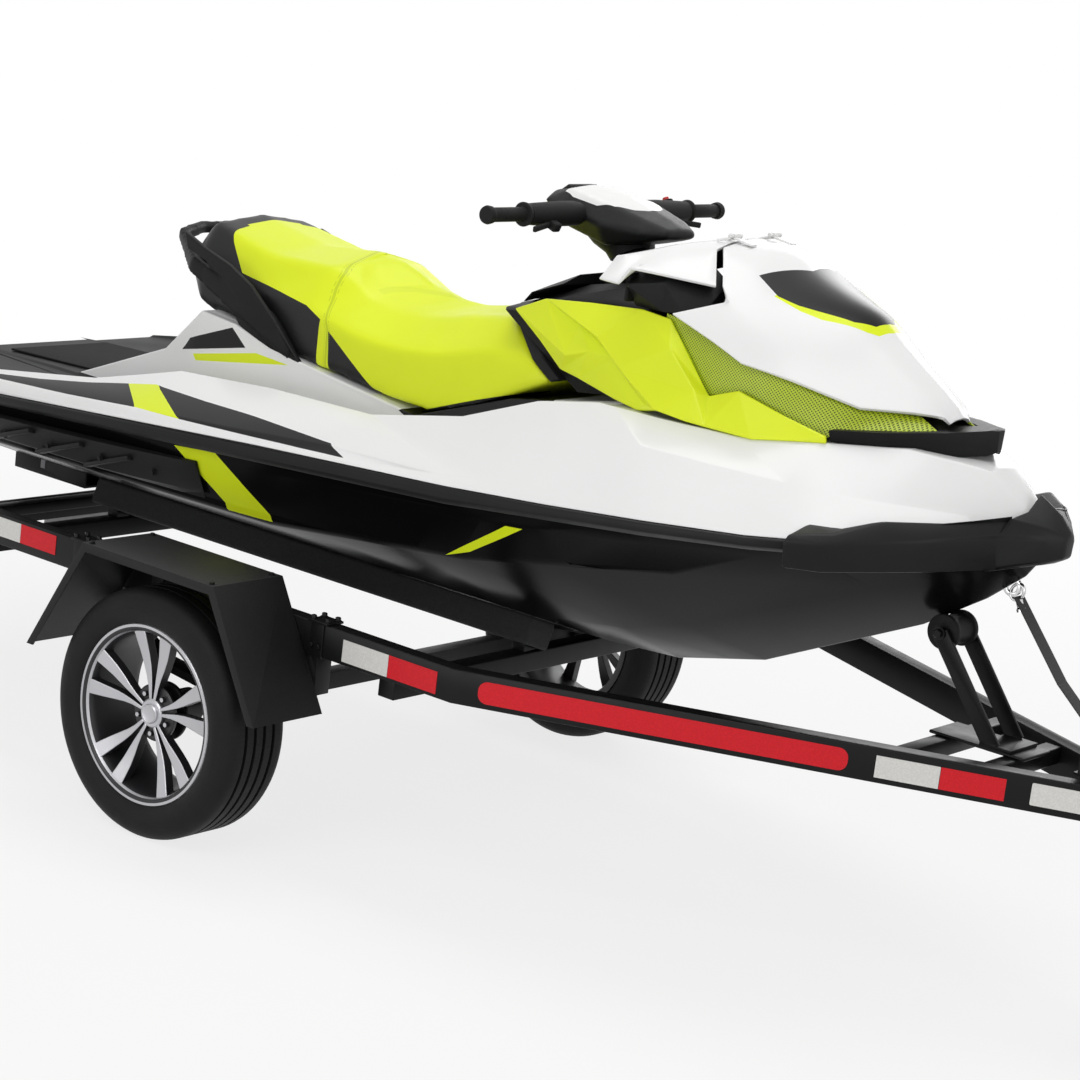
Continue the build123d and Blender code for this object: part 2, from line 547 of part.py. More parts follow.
BUCKET_R, BUCKET_Y, BUCKET_T = 98.0, 80.0, 7.0
sector = rings([[(NOZZLE_X, y, SHAFT_Z)] + [(NOZZLE_X + 130 * math.cos(math.radians(a)), y, SHAFT_Z + 130 * math.sin(math.radians(a)))
                                            for a in (96, 125, 155)] for y in (-95, 95)])
shell = Pos(NOZZLE_X, 0, SHAFT_Z) * Rot(90, 0, 0) * (Cylinder(BUCKET_R + BUCKET_T, 2 * BUCKET_Y + 16) -
                                                   Cylinder(BUCKET_R, 2 * BUCKET_Y))
bucket = shell & sector
for s in (-1, 1):
    bucket = bucket + Pos(NOZZLE_X, s * (BUCKET_Y + 4), SHAFT_Z) * Rot(90, 0, 0) * Cylinder(14, 8)
BODY["reverse_bucket"] = bucket - rod((NOZZLE_X, -100, SHAFT_Z), (NOZZLE_X, 100, SHAFT_Z), 6 + RUN)
ride = box(-1400, -1100, -TUNNEL_Y, TUNNEL_Y, KEEL_Z, KEEL_Z + 75)
BODY["ride_plate"] = ride - box(-1410, -1090, -TUNNEL_Y + 6, TUNNEL_Y - 6, KEEL_Z + 8, KEEL_Z + 100) - BODY["jet_pump"]
grate = box(-1085, -1075, -70, 70, KEEL_Z + 2, KEEL_Z + 16) + box(-915, -900, -70, 70, KEEL_Z + 2, KEEL_Z + 16)
for y in (-60, -20, 20, 60):
    grate = grate + box(-1085, -902, y - 4, y + 4, KEEL_Z + 2, KEEL_Z + 16)
BODY["intake_grate"] = grate

# ---------------------------------------------------------------- steering
STEER = (640.0, 0.0, 1440.0)
STEER_TILT = 28.0
tilt = math.radians(STEER_TILT)
ax = (-math.sin(tilt), 0.0, math.cos(tilt))
FLANGE_S = 52.0


def along(s, p=STEER):
    return (p[0] + ax[0] * s, p[1] + ax[1] * s, p[2] + ax[2] * s)


BODY["steering_column"] = rod(along(-30), along(66), 46) - console
BAR_RISE = 145.0                        # handlebar above the point where the column meets the console
BAR_Z, BAR_X, GRIP_Y = STEER[2] + BAR_RISE, 520.0, 455.0
# x, half outline (y, height over the bar's centre) of the steering pod
POD = [
    (395, [(0, -13), (70, -9), (95, 15), (60, 37), (0, 41)]),
    (470, [(0, -45), (90, -40), (120, 5), (80, 53), (0, 61)]),
    (590, [(0, -73), (95, -65), (130, -15), (90, 35), (0, 47)]),
    (700, [(0, -45), (80, -40), (95, -20), (70, 7), (0, 15)]),
    (745, [(0, -29), (55, -27), (60, -17), (45, -7), (0, -3)]),
]
pod = rings([mirrored(x, [(y, BAR_Z + dz) for y, dz in h]) for x, h in POD])
BODY["steering_pod"] = pod + rod(along(FLANGE_S + 14.3), along(BAR_RISE - 30), 30)
bars = rod((BAR_X, 100, BAR_Z), (BAR_X, GRIP_Y - 6, BAR_Z), 11)
BODY["handlebar"] = Compound([bars - BODY["steering_pod"], flip(bars - BODY["steering_pod"])])
grip = rod((BAR_X, 320, BAR_Z), (BAR_X, GRIP_Y, BAR_Z), 17) - rod((BAR_X, 100, BAR_Z), (BAR_X, GRIP_Y - 6, BAR_Z), 11)
BODY["grips"] = both(grip)

# ---------------------------------------------------------------- bow eye, stern eyes
BODY["bow_eye"] = (Pos(1759, 0, 955) * Rot(90, 0, 0) * Rot(0, 0, 20) * (Cylinder(22, 10) - Cylinder(13, 12))) - hull
eye = box(-1414, -1402, 300, 340, 770, 800) + (Pos(-1420, 320, 785) * Rot(90, 0, 0) * (Cylinder(20, 9) - Cylinder(12, 12)))
BODY["stern_eyes"] = both(eye - hull)

# ================================================================ trailer
RAIL_Z = RAIL_TOP - RAIL_H / 2
slope = math.tan(math.radians(CONVERGE_DEG))
rail_end_x = BEND_X + (RAIL_Y - RAIL_END_Y) / slope
rail = path_bar([(RAIL_REAR_X, RAIL_Y, RAIL_Z), (BEND_X, RAIL_Y, RAIL_Z), (rail_end_x, RAIL_END_Y, RAIL_Z)], RAIL_W, RAIL_H)
TONGUE = (2040, 2345, 30)               # x0, x1, half width; as high as the rails
tongue = box(TONGUE[0], TONGUE[1], -TONGUE[2], TONGUE[2], RAIL_TOP - RAIL_H, RAIL_TOP)
pair("rail", rail - tongue)


def rail_inner(x, extra=0.0):
    """Inner face of the rail at station x."""
    if x <= BEND_X:
        return RAIL_Y - RAIL_W / 2 - extra
    return RAIL_Y - (x - BEND_X) * slope - RAIL_W / 2 / math.cos(math.radians(CONVERGE_DEG)) - extra


CROSS_TOP = RAIL_TOP - RAIL_H
cross = []
for x in (-900, 560):
    cross.append(box(x - 25, x + 25, -RAIL_Y, RAIL_Y, CROSS_TOP - 50, CROSS_TOP))
for x in (1675, 1850):
    y = rail_inner(x + 20)
    cross.append(box(x - 20, x + 20, -y, y, RAIL_TOP - 45, RAIL_TOP - 5))
cross.append(box(RAIL_REAR_X, RAIL_REAR_X + 45, -RAIL_Y, RAIL_Y, CROSS_TOP - 30, CROSS_TOP))
cross.append(box(1640, 1885, -60, 60, RAIL_TOP - 5, RAIL_TOP + 3))
cross.append(tongue)
BODY["cross_members"] = Compound(cross)

AXLE_Z = TYRE_R
HUB_IN, HUB_OUT = TRACK / 2 - 70, TRACK / 2 + 18
axle = box(-AXLE_SQ / 2, AXLE_SQ / 2, -HUB_IN + 12, HUB_IN - 12, AXLE_Z - AXLE_SQ / 2, AXLE_Z + AXLE_SQ / 2)
axle = axle + rod((0, -HUB_OUT + 6, AXLE_Z), (0, HUB_OUT - 6, AXLE_Z), STUB_R)
BODY["axle"] = axle
SPRING_Y, SPRING_W = RAIL_Y - 17.5, 50.0
spring_x = 320.0
leaf = []
for s in (-1, 1):
    leaf.append(path_bar([(s * spring_x, SPRING_Y, 430), (s * spring_x * 0.6, SPRING_Y, 360), (0, SPRING_Y, AXLE_Z + AXLE_SQ / 2 + 11)],
                         SPRING_W, 22, up=(0, 0, 1)))
spring = leaf[0] + leaf[1]
spring = spring - box(-500, 500, 500, 800, 200, AXLE_Z + AXLE_SQ / 2)
for s in (-1, 1):
    spring = spring + box(s * spring_x - 25, s * spring_x + 25, SPRING_Y - 25, SPRING_Y + 25, 415, CROSS_TOP)
BODY["leaf_springs"] = both(spring)

# wheel, port side
WY = TRACK / 2
tyre = turned([(BEAD_R, WY - 82), (BEAD_R, WY + 82), (FLANGE_R + 1, WY + 82), (FLANGE_R + 6, WY + 92), (255, WY + TYRE_W / 2),
               (285, WY + TYRE_W / 2 - 4), (300, WY + 82), (TYRE_R, WY + 66), (TYRE_R, WY - 66), (300, WY - 82),
               (285, WY - TYRE_W / 2 + 4), (255, WY - TYRE_W / 2), (FLANGE_R + 6, WY - 92), (FLANGE_R + 1, WY - 82)],
              (0, 0, AXLE_Z))
pair("tyre", tyre)
rim = turned([(192, WY - 60), (200, WY - 82), (FLANGE_R - 6, WY - RIM_W / 2), (FLANGE_R, WY - RIM_W / 2), (FLANGE_R, WY - 82),
              (BEAD_R, WY - 82), (BEAD_R, WY + 82), (FLANGE_R, WY + 82), (FLANGE_R, WY + RIM_W / 2),
              (FLANGE_R - 6, WY + RIM_W / 2), (200, WY + 82), (192, WY + 60)], (0, 0, AXLE_Z))
disc = rod((0, HUB_OUT, AXLE_Z), (0, HUB_OUT + 30, AXLE_Z), 72)
rim = rim + disc
SPOKES, SPOKE_IN, SPOKE_OUT = 5, (48, 9.0), (203, 12.5)     # number of pairs, (radius, half angle) at both ends
for i in range(SPOKES):
    for s in (-1, 1):
        ends = []
        for (r, half), y in ((SPOKE_IN, WY + 62), (SPOKE_OUT, WY + 56)):
            a = math.radians(360 / SPOKES * i + s * half)
            ends.append((r * math.sin(a), y, AXLE_Z + r * math.cos(a)))
        rim = rim + path_bar(ends, 20, 22, up=(0, 1, 0), taper=[(16, 26), (34, 22)])
pair("rim", rim)
hub = turned([(STUB_R + RUN, HUB_IN), (46, HUB_IN), (46, HUB_OUT - 14), (72, HUB_OUT - 14), (72, HUB_OUT), (STUB_R + RUN, HUB_OUT)],
             (0, 0, AXLE_Z))
pair("hub", hub)

# fenders
FX0, FZ0, FX1, FZ1 = 393.0, 387.0, 223.0, 682.0
prof = [(-FX0, FZ0), (-FX1, FZ1), (FX1, FZ1), (FX0, FZ0)]


def fender_prism(y0, y1, grow):
    c = [(-FX0 - grow, FZ0), (-FX1 - grow * 0.55, FZ1 + grow), (FX1 + grow * 0.55, FZ1 + grow), (FX0 + grow, FZ0)]
    return rings([[(x, y, z) for x, z in c] for y in (y0, y1)])


fender = fender_prism(FENDER_IN_Y, FENDER_OUT_Y, 0) - fender_prism(FENDER_IN_Y - 1, FENDER_OUT_Y + 1, -FENDER_T) \
    - box(-600, 600, 600, 1000, FZ0 - 10, FZ0 + 0.5)
lip = fender_prism(FENDER_OUT_Y - 4, FENDER_OUT_Y, 0) - fender_prism(FENDER_OUT_Y - 6, FENDER_OUT_Y + 1, -22)
fender = fender + lip
for s in (-1, 1):
    fender = fender + box(s * 190 - 20, s * 190 + 20, FENDER_IN_Y - 1.5, FENDER_IN_Y + 3, RAIL_TOP - 60, FZ1 - 2)
pair("fender", fender)

# bunks and their brackets
DEAD = math.atan2(632 - KEEL_Z, 250)
BUNK_Y = 170.0
bz_top = KEEL_Z + BUNK_Y * math.tan(DEAD)
BUNK_T = 70.0
bunk = Pos(0, BUNK_Y, bz_top) * Rot(math.degrees(DEAD), 0, 0) * Pos(-170, 0, -BUNK_T / 2) * Box(1560, 100, BUNK_T)
BODY["bunks"] = both(bunk)
brackets = []
for x in (-900, 560):
    blk = box(x - 20, x + 20, BUNK_Y - 30, BUNK_Y + 30, CROSS_TOP, KEEL_Z + 80) - bunk - hull
    blk = blk - (Pos(0, BUNK_Y, bz_top) * Rot(math.degrees(DEAD), 0, 0) * Pos(-170, 0, 40) * Box(1560, 200, 160))
    brackets.append(blk)
    brackets.append(flip(blk))
BODY["bunk_brackets"] = Compound([b for part in brackets for b in part.solids()])

# keel roller and its post
ROLL_X, ROLL_Z, ROLL_R = 1628.0, 822.0, 41.0
roller = Pos(ROLL_X, 0, ROLL_Z) * Rot(90, 0, 0) * Cylinder(34, 90)
for s in (-1, 1):
    roller = roller + Pos(ROLL_X, s * 38, ROLL_Z) * Rot(90, 0, 0) * Cylinder(ROLL_R, 14)
roller = roller - Pos(ROLL_X, 0, ROLL_Z) * Rot(90, 0, 0) * Cylinder(8 + RUN, 120)
BODY["keel_roller"] = roller
post = []
for s in (-1, 1):
    post.append(path_bar([(ROLL_X, s * 54, ROLL_Z), (1800, s * 54, RAIL_TOP + 3)], 8, 40, up=(0, 0, 1)))
post_shape = post[0] + post[1] - box(1600, 1900, -80, 80, 500, RAIL_TOP + 3)
post_shape = post_shape + Pos(ROLL_X, 0, ROLL_Z) * Rot(90, 0, 0) * Cylinder(8, 124)
post_shape = post_shape + box(1770, 1850, -60, 60, RAIL_TOP + 3, RAIL_TOP + 11)
BODY["roller_post"] = post_shape

# winch and taut strap
WINCH = (2060.0, 0.0, 650.0)
winch = rod((WINCH[0], -45, WINCH[2]), (WINCH[0], 45, WINCH[2]), 22)
for s in (-1, 1):
    winch = winch + box(WINCH[0] - 50, WINCH[0] + 50, s * 45 - 3, s * 45 + 3, RAIL_TOP, WINCH[2] + 40)
winch = winch + box(WINCH[0] - 60, WINCH[0] + 60, -48, 48, RAIL_TOP, RAIL_TOP + 6)
winch = winch + rod((WINCH[0], 45, WINCH[2]), (WINCH[0], 75, WINCH[2]), 8) + box(WINCH[0] - 10, WINCH[0] + 10, 72, 80, WINCH[2] - 10, WINCH[2] + 130)
winch = winch + rod((WINCH[0], 76, WINCH[2] + 120), (WINCH[0], 150, WINCH[2] + 120), 12)
BODY["winch"] = winch
BODY["strap"] = path_bar([(WINCH[0] - 15.6, 0, WINCH[2] + 15.6), (1915, 0, 775), (1777, 0, 938)], 40, 3, up=(0, 0, 1)) - BODY["bow_eye"] - winch

# coupler
HEAD_X, BALL_R = 2375.0, 25.4
coupler = box(2125, 2345, -40, 40, RAIL_TOP, RAIL_TOP + 40) + Pos(HEAD_X, 0, RAIL_TOP + 12) * Cylinder(38, 56)
coupler = coupler - Pos(HEAD_X, 0, RAIL_TOP - 6) * Cylinder(BALL_R, 44)
coupler = coupler + path_bar([(2180, 0, RAIL_TOP + 60), (2330, 0, RAIL_TOP + 48)], 22, 22)
BODY["coupler"] = coupler - tongue

# jack with its jockey wheel
JACK_X, JACK_Y = 2200.0, 105.0
JACK_WR, JACK_TRAIL = 100.0, 45.0
outer_tube = Pos(JACK_X, JACK_Y, 620) * Cylinder(26, 360) - Pos(JACK_X, JACK_Y, 610) * Cylinder(21 + RUN, 360)
clamp = box(JACK_X - 30, JACK_X + 30, TONGUE[2], JACK_Y - 20, RAIL_Z - 30, RAIL_Z + 30)
clamp = clamp - BODY["rail_left"] - Pos(JACK_X, JACK_Y, RAIL_Z) * Cylinder(24, 200)
crank = Pos(JACK_X, JACK_Y, 811) * Cylinder(8, 26) + box(JACK_X - 8, JACK_X + 8, JACK_Y - 8, JACK_Y + 100, 822, 830) \
    + Pos(JACK_X, JACK_Y + 92, 865) * Cylinder(11, 78)
BODY["jack"] = outer_tube + clamp + crank
BODY["jack_tube"] = Pos(JACK_X, JACK_Y, (226.3 + 585) / 2) * Cylinder(21, 585 - 226.3)
fork_z = 2 * JACK_WR + 26
fork = box(JACK_X - JACK_TRAIL - 25, JACK_X + 28, JACK_Y - 34, JACK_Y + 34, fork_z - 8, fork_z)
for s in (-1, 1):
    fork = fork + rings([[(x, JACK_Y + s * 34 - 3 * s, z), (x, JACK_Y + s * 34, z)] + [(x2, JACK_Y + s * 34, z2), (x2, JACK_Y + s * 34 - 3 * s, z2)]
                         for x, z, x2, z2 in [(JACK_X - JACK_TRAIL - 20, fork_z - 8, JACK_X - JACK_TRAIL - 20, JACK_WR - 15),
                                              (JACK_X + 20 - JACK_TRAIL + 10, fork_z - 8, JACK_X - JACK_TRAIL + 20, JACK_WR - 15)]])
fork = fork + Pos(JACK_X - JACK_TRAIL, JACK_Y, JACK_WR) * Rot(90, 0, 0) * Cylinder(8, 74)
BODY["jockey_fork"] = fork
jw = Pos(JACK_X - JACK_TRAIL, JACK_Y, JACK_WR) * Rot(90, 0, 0) * (Cylinder(JACK_WR, 46) - Cylinder(8 + RUN, 60))
BODY["jockey_wheel"] = jw

# light bar, lights, plate
LIGHT_X = RAIL_REAR_X - 12
BODY["light_bar"] = box(LIGHT_X - 8, LIGHT_X + 12, -720, 720, CROSS_TOP - 66, CROSS_TOP)
BODY["tail_lights"] = both(box(LIGHT_X - 38, LIGHT_X - 8, 590, 710, CROSS_TOP - 64, CROSS_TOP - 4))
BODY["plate"] = box(LIGHT_X - 12, LIGHT_X - 8, -200, 200, CROSS_TOP - 120, CROSS_TOP - 5)

# ---------------------------------------------------------------- export
os.makedirs("parts", exist_ok=True)
for name, shape in BODY.items():
    solids = list(shape.solids())
    whole = solids[0] if len(solids) == 1 else Compound(solids)
    export_step(Pos(-MID_X, 0, 0) * whole, "parts/" + name + ".step")
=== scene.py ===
import math
import bpy
import bmesh
from mathutils import Matrix, Vector


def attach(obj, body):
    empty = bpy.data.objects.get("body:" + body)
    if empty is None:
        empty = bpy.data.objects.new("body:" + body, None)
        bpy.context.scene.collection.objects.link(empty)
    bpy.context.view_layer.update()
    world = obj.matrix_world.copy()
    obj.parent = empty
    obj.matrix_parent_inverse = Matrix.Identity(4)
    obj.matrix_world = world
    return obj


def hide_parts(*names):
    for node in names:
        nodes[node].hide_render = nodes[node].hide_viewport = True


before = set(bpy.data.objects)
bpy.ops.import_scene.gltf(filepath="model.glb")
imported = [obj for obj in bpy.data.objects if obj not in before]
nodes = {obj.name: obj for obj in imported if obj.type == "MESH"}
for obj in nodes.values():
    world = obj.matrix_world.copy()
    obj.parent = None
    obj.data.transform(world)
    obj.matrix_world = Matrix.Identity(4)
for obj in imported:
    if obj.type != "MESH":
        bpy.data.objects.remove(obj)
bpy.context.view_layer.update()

# ------------------------------------------------------------ studio
# The camera stands off the starboard bow at the photograph's angle. A pale floor, one large soft key lamp,
# a fill and a strip above the deck; the world shows white to the camera and to glossy rays only.
bpy.context.scene.view_settings.view_transform = "Standard"
yaw, pitch, roll = math.radians(52.151), math.radians(12.794), math.radians(6.877)
look = Vector((-math.cos(yaw) * math.cos(pitch), math.sin(yaw) * math.cos(pitch), -math.sin(pitch)))
side = look.cross(Vector((0, 0, 1))).normalized()
rise = side.cross(look)
right = math.cos(roll) * side + math.sin(roll) * rise
upward = -math.sin(roll) * side + math.cos(roll) * rise
bpy.ops.object.camera_add(location=(4.2013, -5.4459, 2.3129))
camera = bpy.context.object
camera.matrix_world = Matrix.Translation(camera.location) @ Matrix((right, upward, -look)).transposed().to_4x4()
camera.data.sensor_width = 36
camera.data.lens = 94.2026
camera.data.clip_end = 100
bpy.context.scene.camera = camera


DRAWING_X = 463     # mm from the trailer's axle, where the drawing starts, to the frame's origin


def forward(x):
    """Length on the drawing, in mm from the trailer's axle, in the frame's metres."""
    return (x - DRAWING_X) / 1000


class Link:
    """A node's output socket that Python's own signs work on: each sign adds one Math node."""

    def __init__(self, tree, out):
        self.tree, self.out = tree, out

    def math(self, operation, *others):
        n = add_node(self.tree, "ShaderNodeMath", {"operation": operation}, dict(enumerate((self, *others))))
        return Link(self.tree, n.outputs[0])

    def __add__(self, o): return self.math("ADD", o)
    def __radd__(self, o): return self.math("ADD", o)
    def __sub__(self, o): return self.math("SUBTRACT", o)
    def __rsub__(self, o): return (self * -1).math("ADD", o)
    def __mul__(self, o): return self.math("MULTIPLY", o)
    def __rmul__(self, o): return self.math("MULTIPLY", o)
    def __gt__(self, o): return self.math("GREATER_THAN", o)
    def __lt__(self, o): return self.math("LESS_THAN", o)
    def __abs__(self): return self.math("ABSOLUTE")
    def __mod__(self, o): return self.math("FLOORED_MODULO", o)
    def most(self, o): return self.math("MAXIMUM", o)


def add_node(tree, kind, settings, values):
    """Adds a node: its settings first, then the value or the link of each named or numbered input."""
    n = tree.nodes.new(kind)
    for key, v in settings.items():
        setattr(n, key, v)
    for key, v in values.items():
        if isinstance(v, Link):
            tree.links.new(v.out, n.inputs[key])
        else:
            n.inputs[key].default_value = v
    return n


class Finish:
    """One material: a Principled shader whose colour, roughness and bump are built up by the calls below."""

    def __init__(self, name, color, roughness=0.4, metallic=0.0, coat=0.0, gleam=0.5):
        self.material = bpy.data.materials.new(name)
        self.material.use_nodes = True
        self.tree = self.material.node_tree
        self.shader = self.tree.nodes["Principled BSDF"]
        for key, v in (("Base Color", (*color, 1)), ("Roughness", roughness), ("Metallic", metallic),
                       ("Coat Weight", coat), ("Specular IOR Level", gleam)):
            self.shader.inputs[key].default_value = v
        place = self.node("ShaderNodeTexCoord")
        self.place = self.pick(place, "Object")
        split = self.node("ShaderNodeSeparateXYZ", {}, {"Vector": self.place})
        self.x, self.y, self.z = (Link(self.tree, split.outputs[i]) for i in range(3))

    def node(self, kind, settings=None, values=None):
        return add_node(self.tree, kind, settings or {}, values or {})

    def pick(self, n, name):
        return Link(self.tree, n.outputs[name])

    def noise(self, scale, detail=2.0, vector=None):
        n = self.node("ShaderNodeTexNoise", {}, {"Vector": vector or self.place, "Scale": scale, "Detail": detail})
        return self.pick(n, "Fac")

    def cells(self, scale, out="Distance"):
        return self.pick(self.node("ShaderNodeTexVoronoi", {}, {"Vector": self.place, "Scale": scale}), out)

    def stretched(self, sx, sy, sz):
        n = self.node("ShaderNodeMapping", {}, {"Vector": self.place, "Scale": (sx, sy, sz)})
        return self.pick(n, "Vector")

    def ramp(self, value, low, high, start, end):
        n = self.node("ShaderNodeMapRange", {"clamp": True}, {
            "Value": value, "From Min": low, "From Max": high, "To Min": start, "To Max": end})
        return self.pick(n, "Result")

    def line(self, value, points, origin=DRAWING_X):
        """Height of a broken line over value; points in mm from the drawing, the first number from origin."""
        total = None
        for (a, za), (b, zb) in zip(points, points[1:]):
            step = self.ramp(value, (a - origin) / 1000, (b - origin) / 1000, 0.0, (zb - za) / 1000)
            total = step if total is None else total + step
        return total + points[0][1] / 1000

    def patch(self, u, v, corners):
        """1 inside a convex outline whose corners are in mm from the drawing (first number along the craft)."""
        pts = [(forward(a), b / 1000) for a, b in corners]
        turn = sum(p[0] * q[1] - q[0] * p[1] for p, q in zip(pts, pts[1:] + pts[:1]))
        inside = None
        for p, q in zip(pts, pts[1:] + pts[:1]):
            if turn < 0:
                p, q = q, p
            d = (v - p[1]) * (q[0] - p[0]) - (u - p[0]) * (q[1] - p[1])
            inside = (d > 0.0) if inside is None else inside * (d > 0.0)
        return inside

    def mix(self, factor, a, b):
        a, b = (v if isinstance(v, Link) else (*v, 1) for v in (a, b))
        n = self.node("ShaderNodeMix", {"data_type": "RGBA"}, {0: factor, 6: a, 7: b})
        return Link(self.tree, n.outputs[2])

    def feed(self, name, value):
        self.tree.links.new(value.out, self.shader.inputs[name])

    def mottled(self, scale, a, b, detail=3):
        """Base colour that drifts softly between two shades."""
        self.feed("Base Color", self.mix(self.noise(scale, detail), a, b))

    def worn(self, scale, detail, spread, least):
        """Roughness that varies by spread above its least value."""
        self.feed("Roughness", self.noise(scale, detail) * spread + least)

    def bump(self, height, depth, strength=1.0):
        n = self.node("ShaderNodeBump", {}, {"Height": height, "Distance": depth, "Strength": strength})
        self.feed("Normal", self.pick(n, "Normal"))


def flood(name, location, aim, size, size_y, energy):
    bpy.ops.object.light_add(type="AREA", location=location)
    lamp = bpy.context.object
    lamp.name = name
    lamp.data.shape = "RECTANGLE"
    lamp.data.size, lamp.data.size_y, lamp.data.energy = size, size_y, energy
    lamp.rotation_euler = (Vector(aim) - Vector(location)).to_track_quat("-Z", "Y").to_euler()


flood("key_flood", (1.5, -5.5, 5.5), (0.0, 0.0, 0.8), 4.5, 3.0, 125)
flood("bow_fill", (6.5, -1.0, 2.2), (0.5, 0.0, 0.7), 3.0, 2.5, 60)
flood("low_fill", (-0.5, -6.5, 1.2), (0.0, 0.0, 0.7), 5.0, 1.8, 75)
flood("overhead_strip", (0.0, 0.5, 5.5), (0.0, 0.0, 0.8), 5.0, 2.2, 120)
flood("port_fill", (-1.0, 5.5, 3.0), (0.0, 0.0, 0.8), 4.0, 2.5, 90)

world = bpy.data.worlds.new("studio_world")
bpy.context.scene.world = world
world.use_nodes = True
sky = world.node_tree
back = sky.nodes["Background"]
rays = sky.nodes.new("ShaderNodeLightPath")
seen = Link(sky, rays.outputs["Is Camera Ray"])
for kind in ("Is Glossy Ray", "Is Transmission Ray"):
    seen = seen.most(Link(sky, rays.outputs[kind]))
sky.links.new((seen * 0.66 + 0.34).out, back.inputs["Strength"])
back.inputs["Color"].default_value = (1, 1, 1, 1)

bpy.ops.mesh.primitive_plane_add(size=60, location=(0, 0, 0))
floor = bpy.context.object
floor.name = "studio_floor"
floor.location.z = -0.001
paper = Finish("studio_paper", (0.8, 0.8, 0.8), 0.9)
rays = paper.node("ShaderNodeLightPath")
seen = paper.pick(rays, "Is Camera Ray")
for kind in ("Is Glossy Ray", "Is Transmission Ray"):
    seen = seen.most(paper.pick(rays, kind))
glow = paper.node("ShaderNodeEmission", {}, {"Color": (1, 1, 1, 1), "Strength": 1.0})
lit = paper.node("ShaderNodeBsdfDiffuse", {}, {"Color": (0.8, 0.8, 0.8, 1)})
reach = paper.x * paper.x + paper.y * paper.y
shaded = paper.node("ShaderNodeMixShader", {}, {"Fac": seen * paper.ramp(reach, 6.0, 30.0, 0.78, 1.0)})
paper.tree.links.new(lit.outputs[0], shaded.inputs[1])
paper.tree.links.new(glow.outputs[0], shaded.inputs[2])
paper.tree.links.new(shaded.outputs[0], paper.tree.nodes["Material Output"].inputs["Surface"])
floor.data.materials.append(paper.material)


# ------------------------------------------------------------ hull
# Moulded hull in black gelcoat with a lime slash and a lime wedge on each side, drawn on the upper side.
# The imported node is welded, its hard edges get a small radius, and the flats between stations run smooth.
FIXED = "craft_and_frame"     # body of everything that doesn't move


def edit_all():
    """Opens edit mode on the active piece with everything selected."""
    if bpy.context.object.mode != "EDIT":
        bpy.ops.object.mode_set(mode="EDIT")
    bpy.ops.mesh.select_all(action="SELECT")


def close_edit():
    bpy.ops.object.mode_set(mode="OBJECT")


def apply_place():
    bpy.ops.object.transform_apply(location=True, rotation=True, scale=True)


def smooth_below(angle):
    """Smooths the active piece over every edge flatter than the angle, in degrees."""
    bpy.ops.object.shade_smooth_by_angle(angle=math.radians(angle))


def alone(piece):
    """Makes one piece the only selected and the active one."""
    bpy.ops.object.select_all(action="DESELECT")
    piece.select_set(True)
    bpy.context.view_layer.objects.active = piece


def modified(piece, kind, **settings):
    """Adds one modifier with its settings and applies it."""
    step = piece.modifiers.new(kind.lower(), kind)
    for key, v in settings.items():
        setattr(step, key, v)
    bpy.ops.object.modifier_apply(modifier=step.name)


def bevelled(piece, width, segments, angle):
    """Rounds every edge that is sharper than the angle, in degrees; the width is in metres."""
    modified(piece, "BEVEL", width=width, segments=segments, limit_method="ANGLE", angle_limit=math.radians(angle))


def welded(name, *sources, radius=0.004, sharp=30.0, segments=2):
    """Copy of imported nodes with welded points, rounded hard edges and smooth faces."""
    bpy.ops.object.select_all(action="DESELECT")
    copies = []
    for source in sources:
        piece = nodes[source].copy()
        piece.data = nodes[source].data.copy()
        piece.parent = None
        for key in list(piece.keys()):
            del piece[key]
        bpy.context.scene.collection.objects.link(piece)
        piece.select_set(True)
        copies.append(piece)
    bpy.context.view_layer.objects.active = copies[0]
    if len(copies) > 1:
        bpy.ops.object.join()
    piece = bpy.context.object
    piece.name = name
    piece.data.materials.clear()
    edit_all()
    bpy.ops.mesh.remove_doubles(threshold=0.00005)
    bpy.ops.mesh.dissolve_limited(angle_limit=math.radians(1.0))
    bpy.ops.mesh.normals_make_consistent(inside=False)
    close_edit()
    if radius:
        bevelled(piece, radius, segments, sharp)
    smooth_below(sharp)
    return piece


def dressed(piece, finish, body, slot, *replaced):
    """Gives a piece its finish and its body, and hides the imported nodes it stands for."""
    piece.data.materials.clear()
    piece.data.materials.append(finish.material)
    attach(piece, body)
    if replaced:
        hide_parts(*replaced)
    return piece


def packed(name, node, finish, slot, body=FIXED, **edges):
    """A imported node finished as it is, with welded points and rounded edges."""
    return dressed(welded(name, node, **edges), finish, body, slot, node)


LIME = (0.72, 0.84, 0.018)
WHITE = (0.80, 0.80, 0.79)
BLACK = (0.013, 0.013, 0.014)
f = black_gelcoat = Finish("black_gelcoat", BLACK, 0.3, gleam=0.03)
slash = f.patch(f.x, f.z, [(-291, 880), (-144, 892), (19, 749), (-138, 743)])
wedge = f.patch(f.x, f.z, [(565, 796), (769, 918), (816, 921), (643, 823)])
cloud = f.noise(3.0, 3)
tone = f.mix(cloud, (0.002, 0.002, 0.0025), (0.005, 0.005, 0.0055))
f.feed("Base Color", f.mix(slash.most(wedge), tone, LIME))
f.worn(7.0, 4, 0.10, 0.17)
f.bump(f.noise(60.0, 2), 0.0004, 0.25)


def moulded(name, source, radius, limit):
    """Gelcoat moulding: every crease over the limit gets a broad radius, the rest runs smooth."""
    piece = welded(name, source, radius=0)
    edit_all()
    bpy.ops.mesh.dissolve_limited(angle_limit=math.radians(5))
    close_edit()
    bevelled(piece, radius, 3, limit)
    smooth_below(35)
    return piece


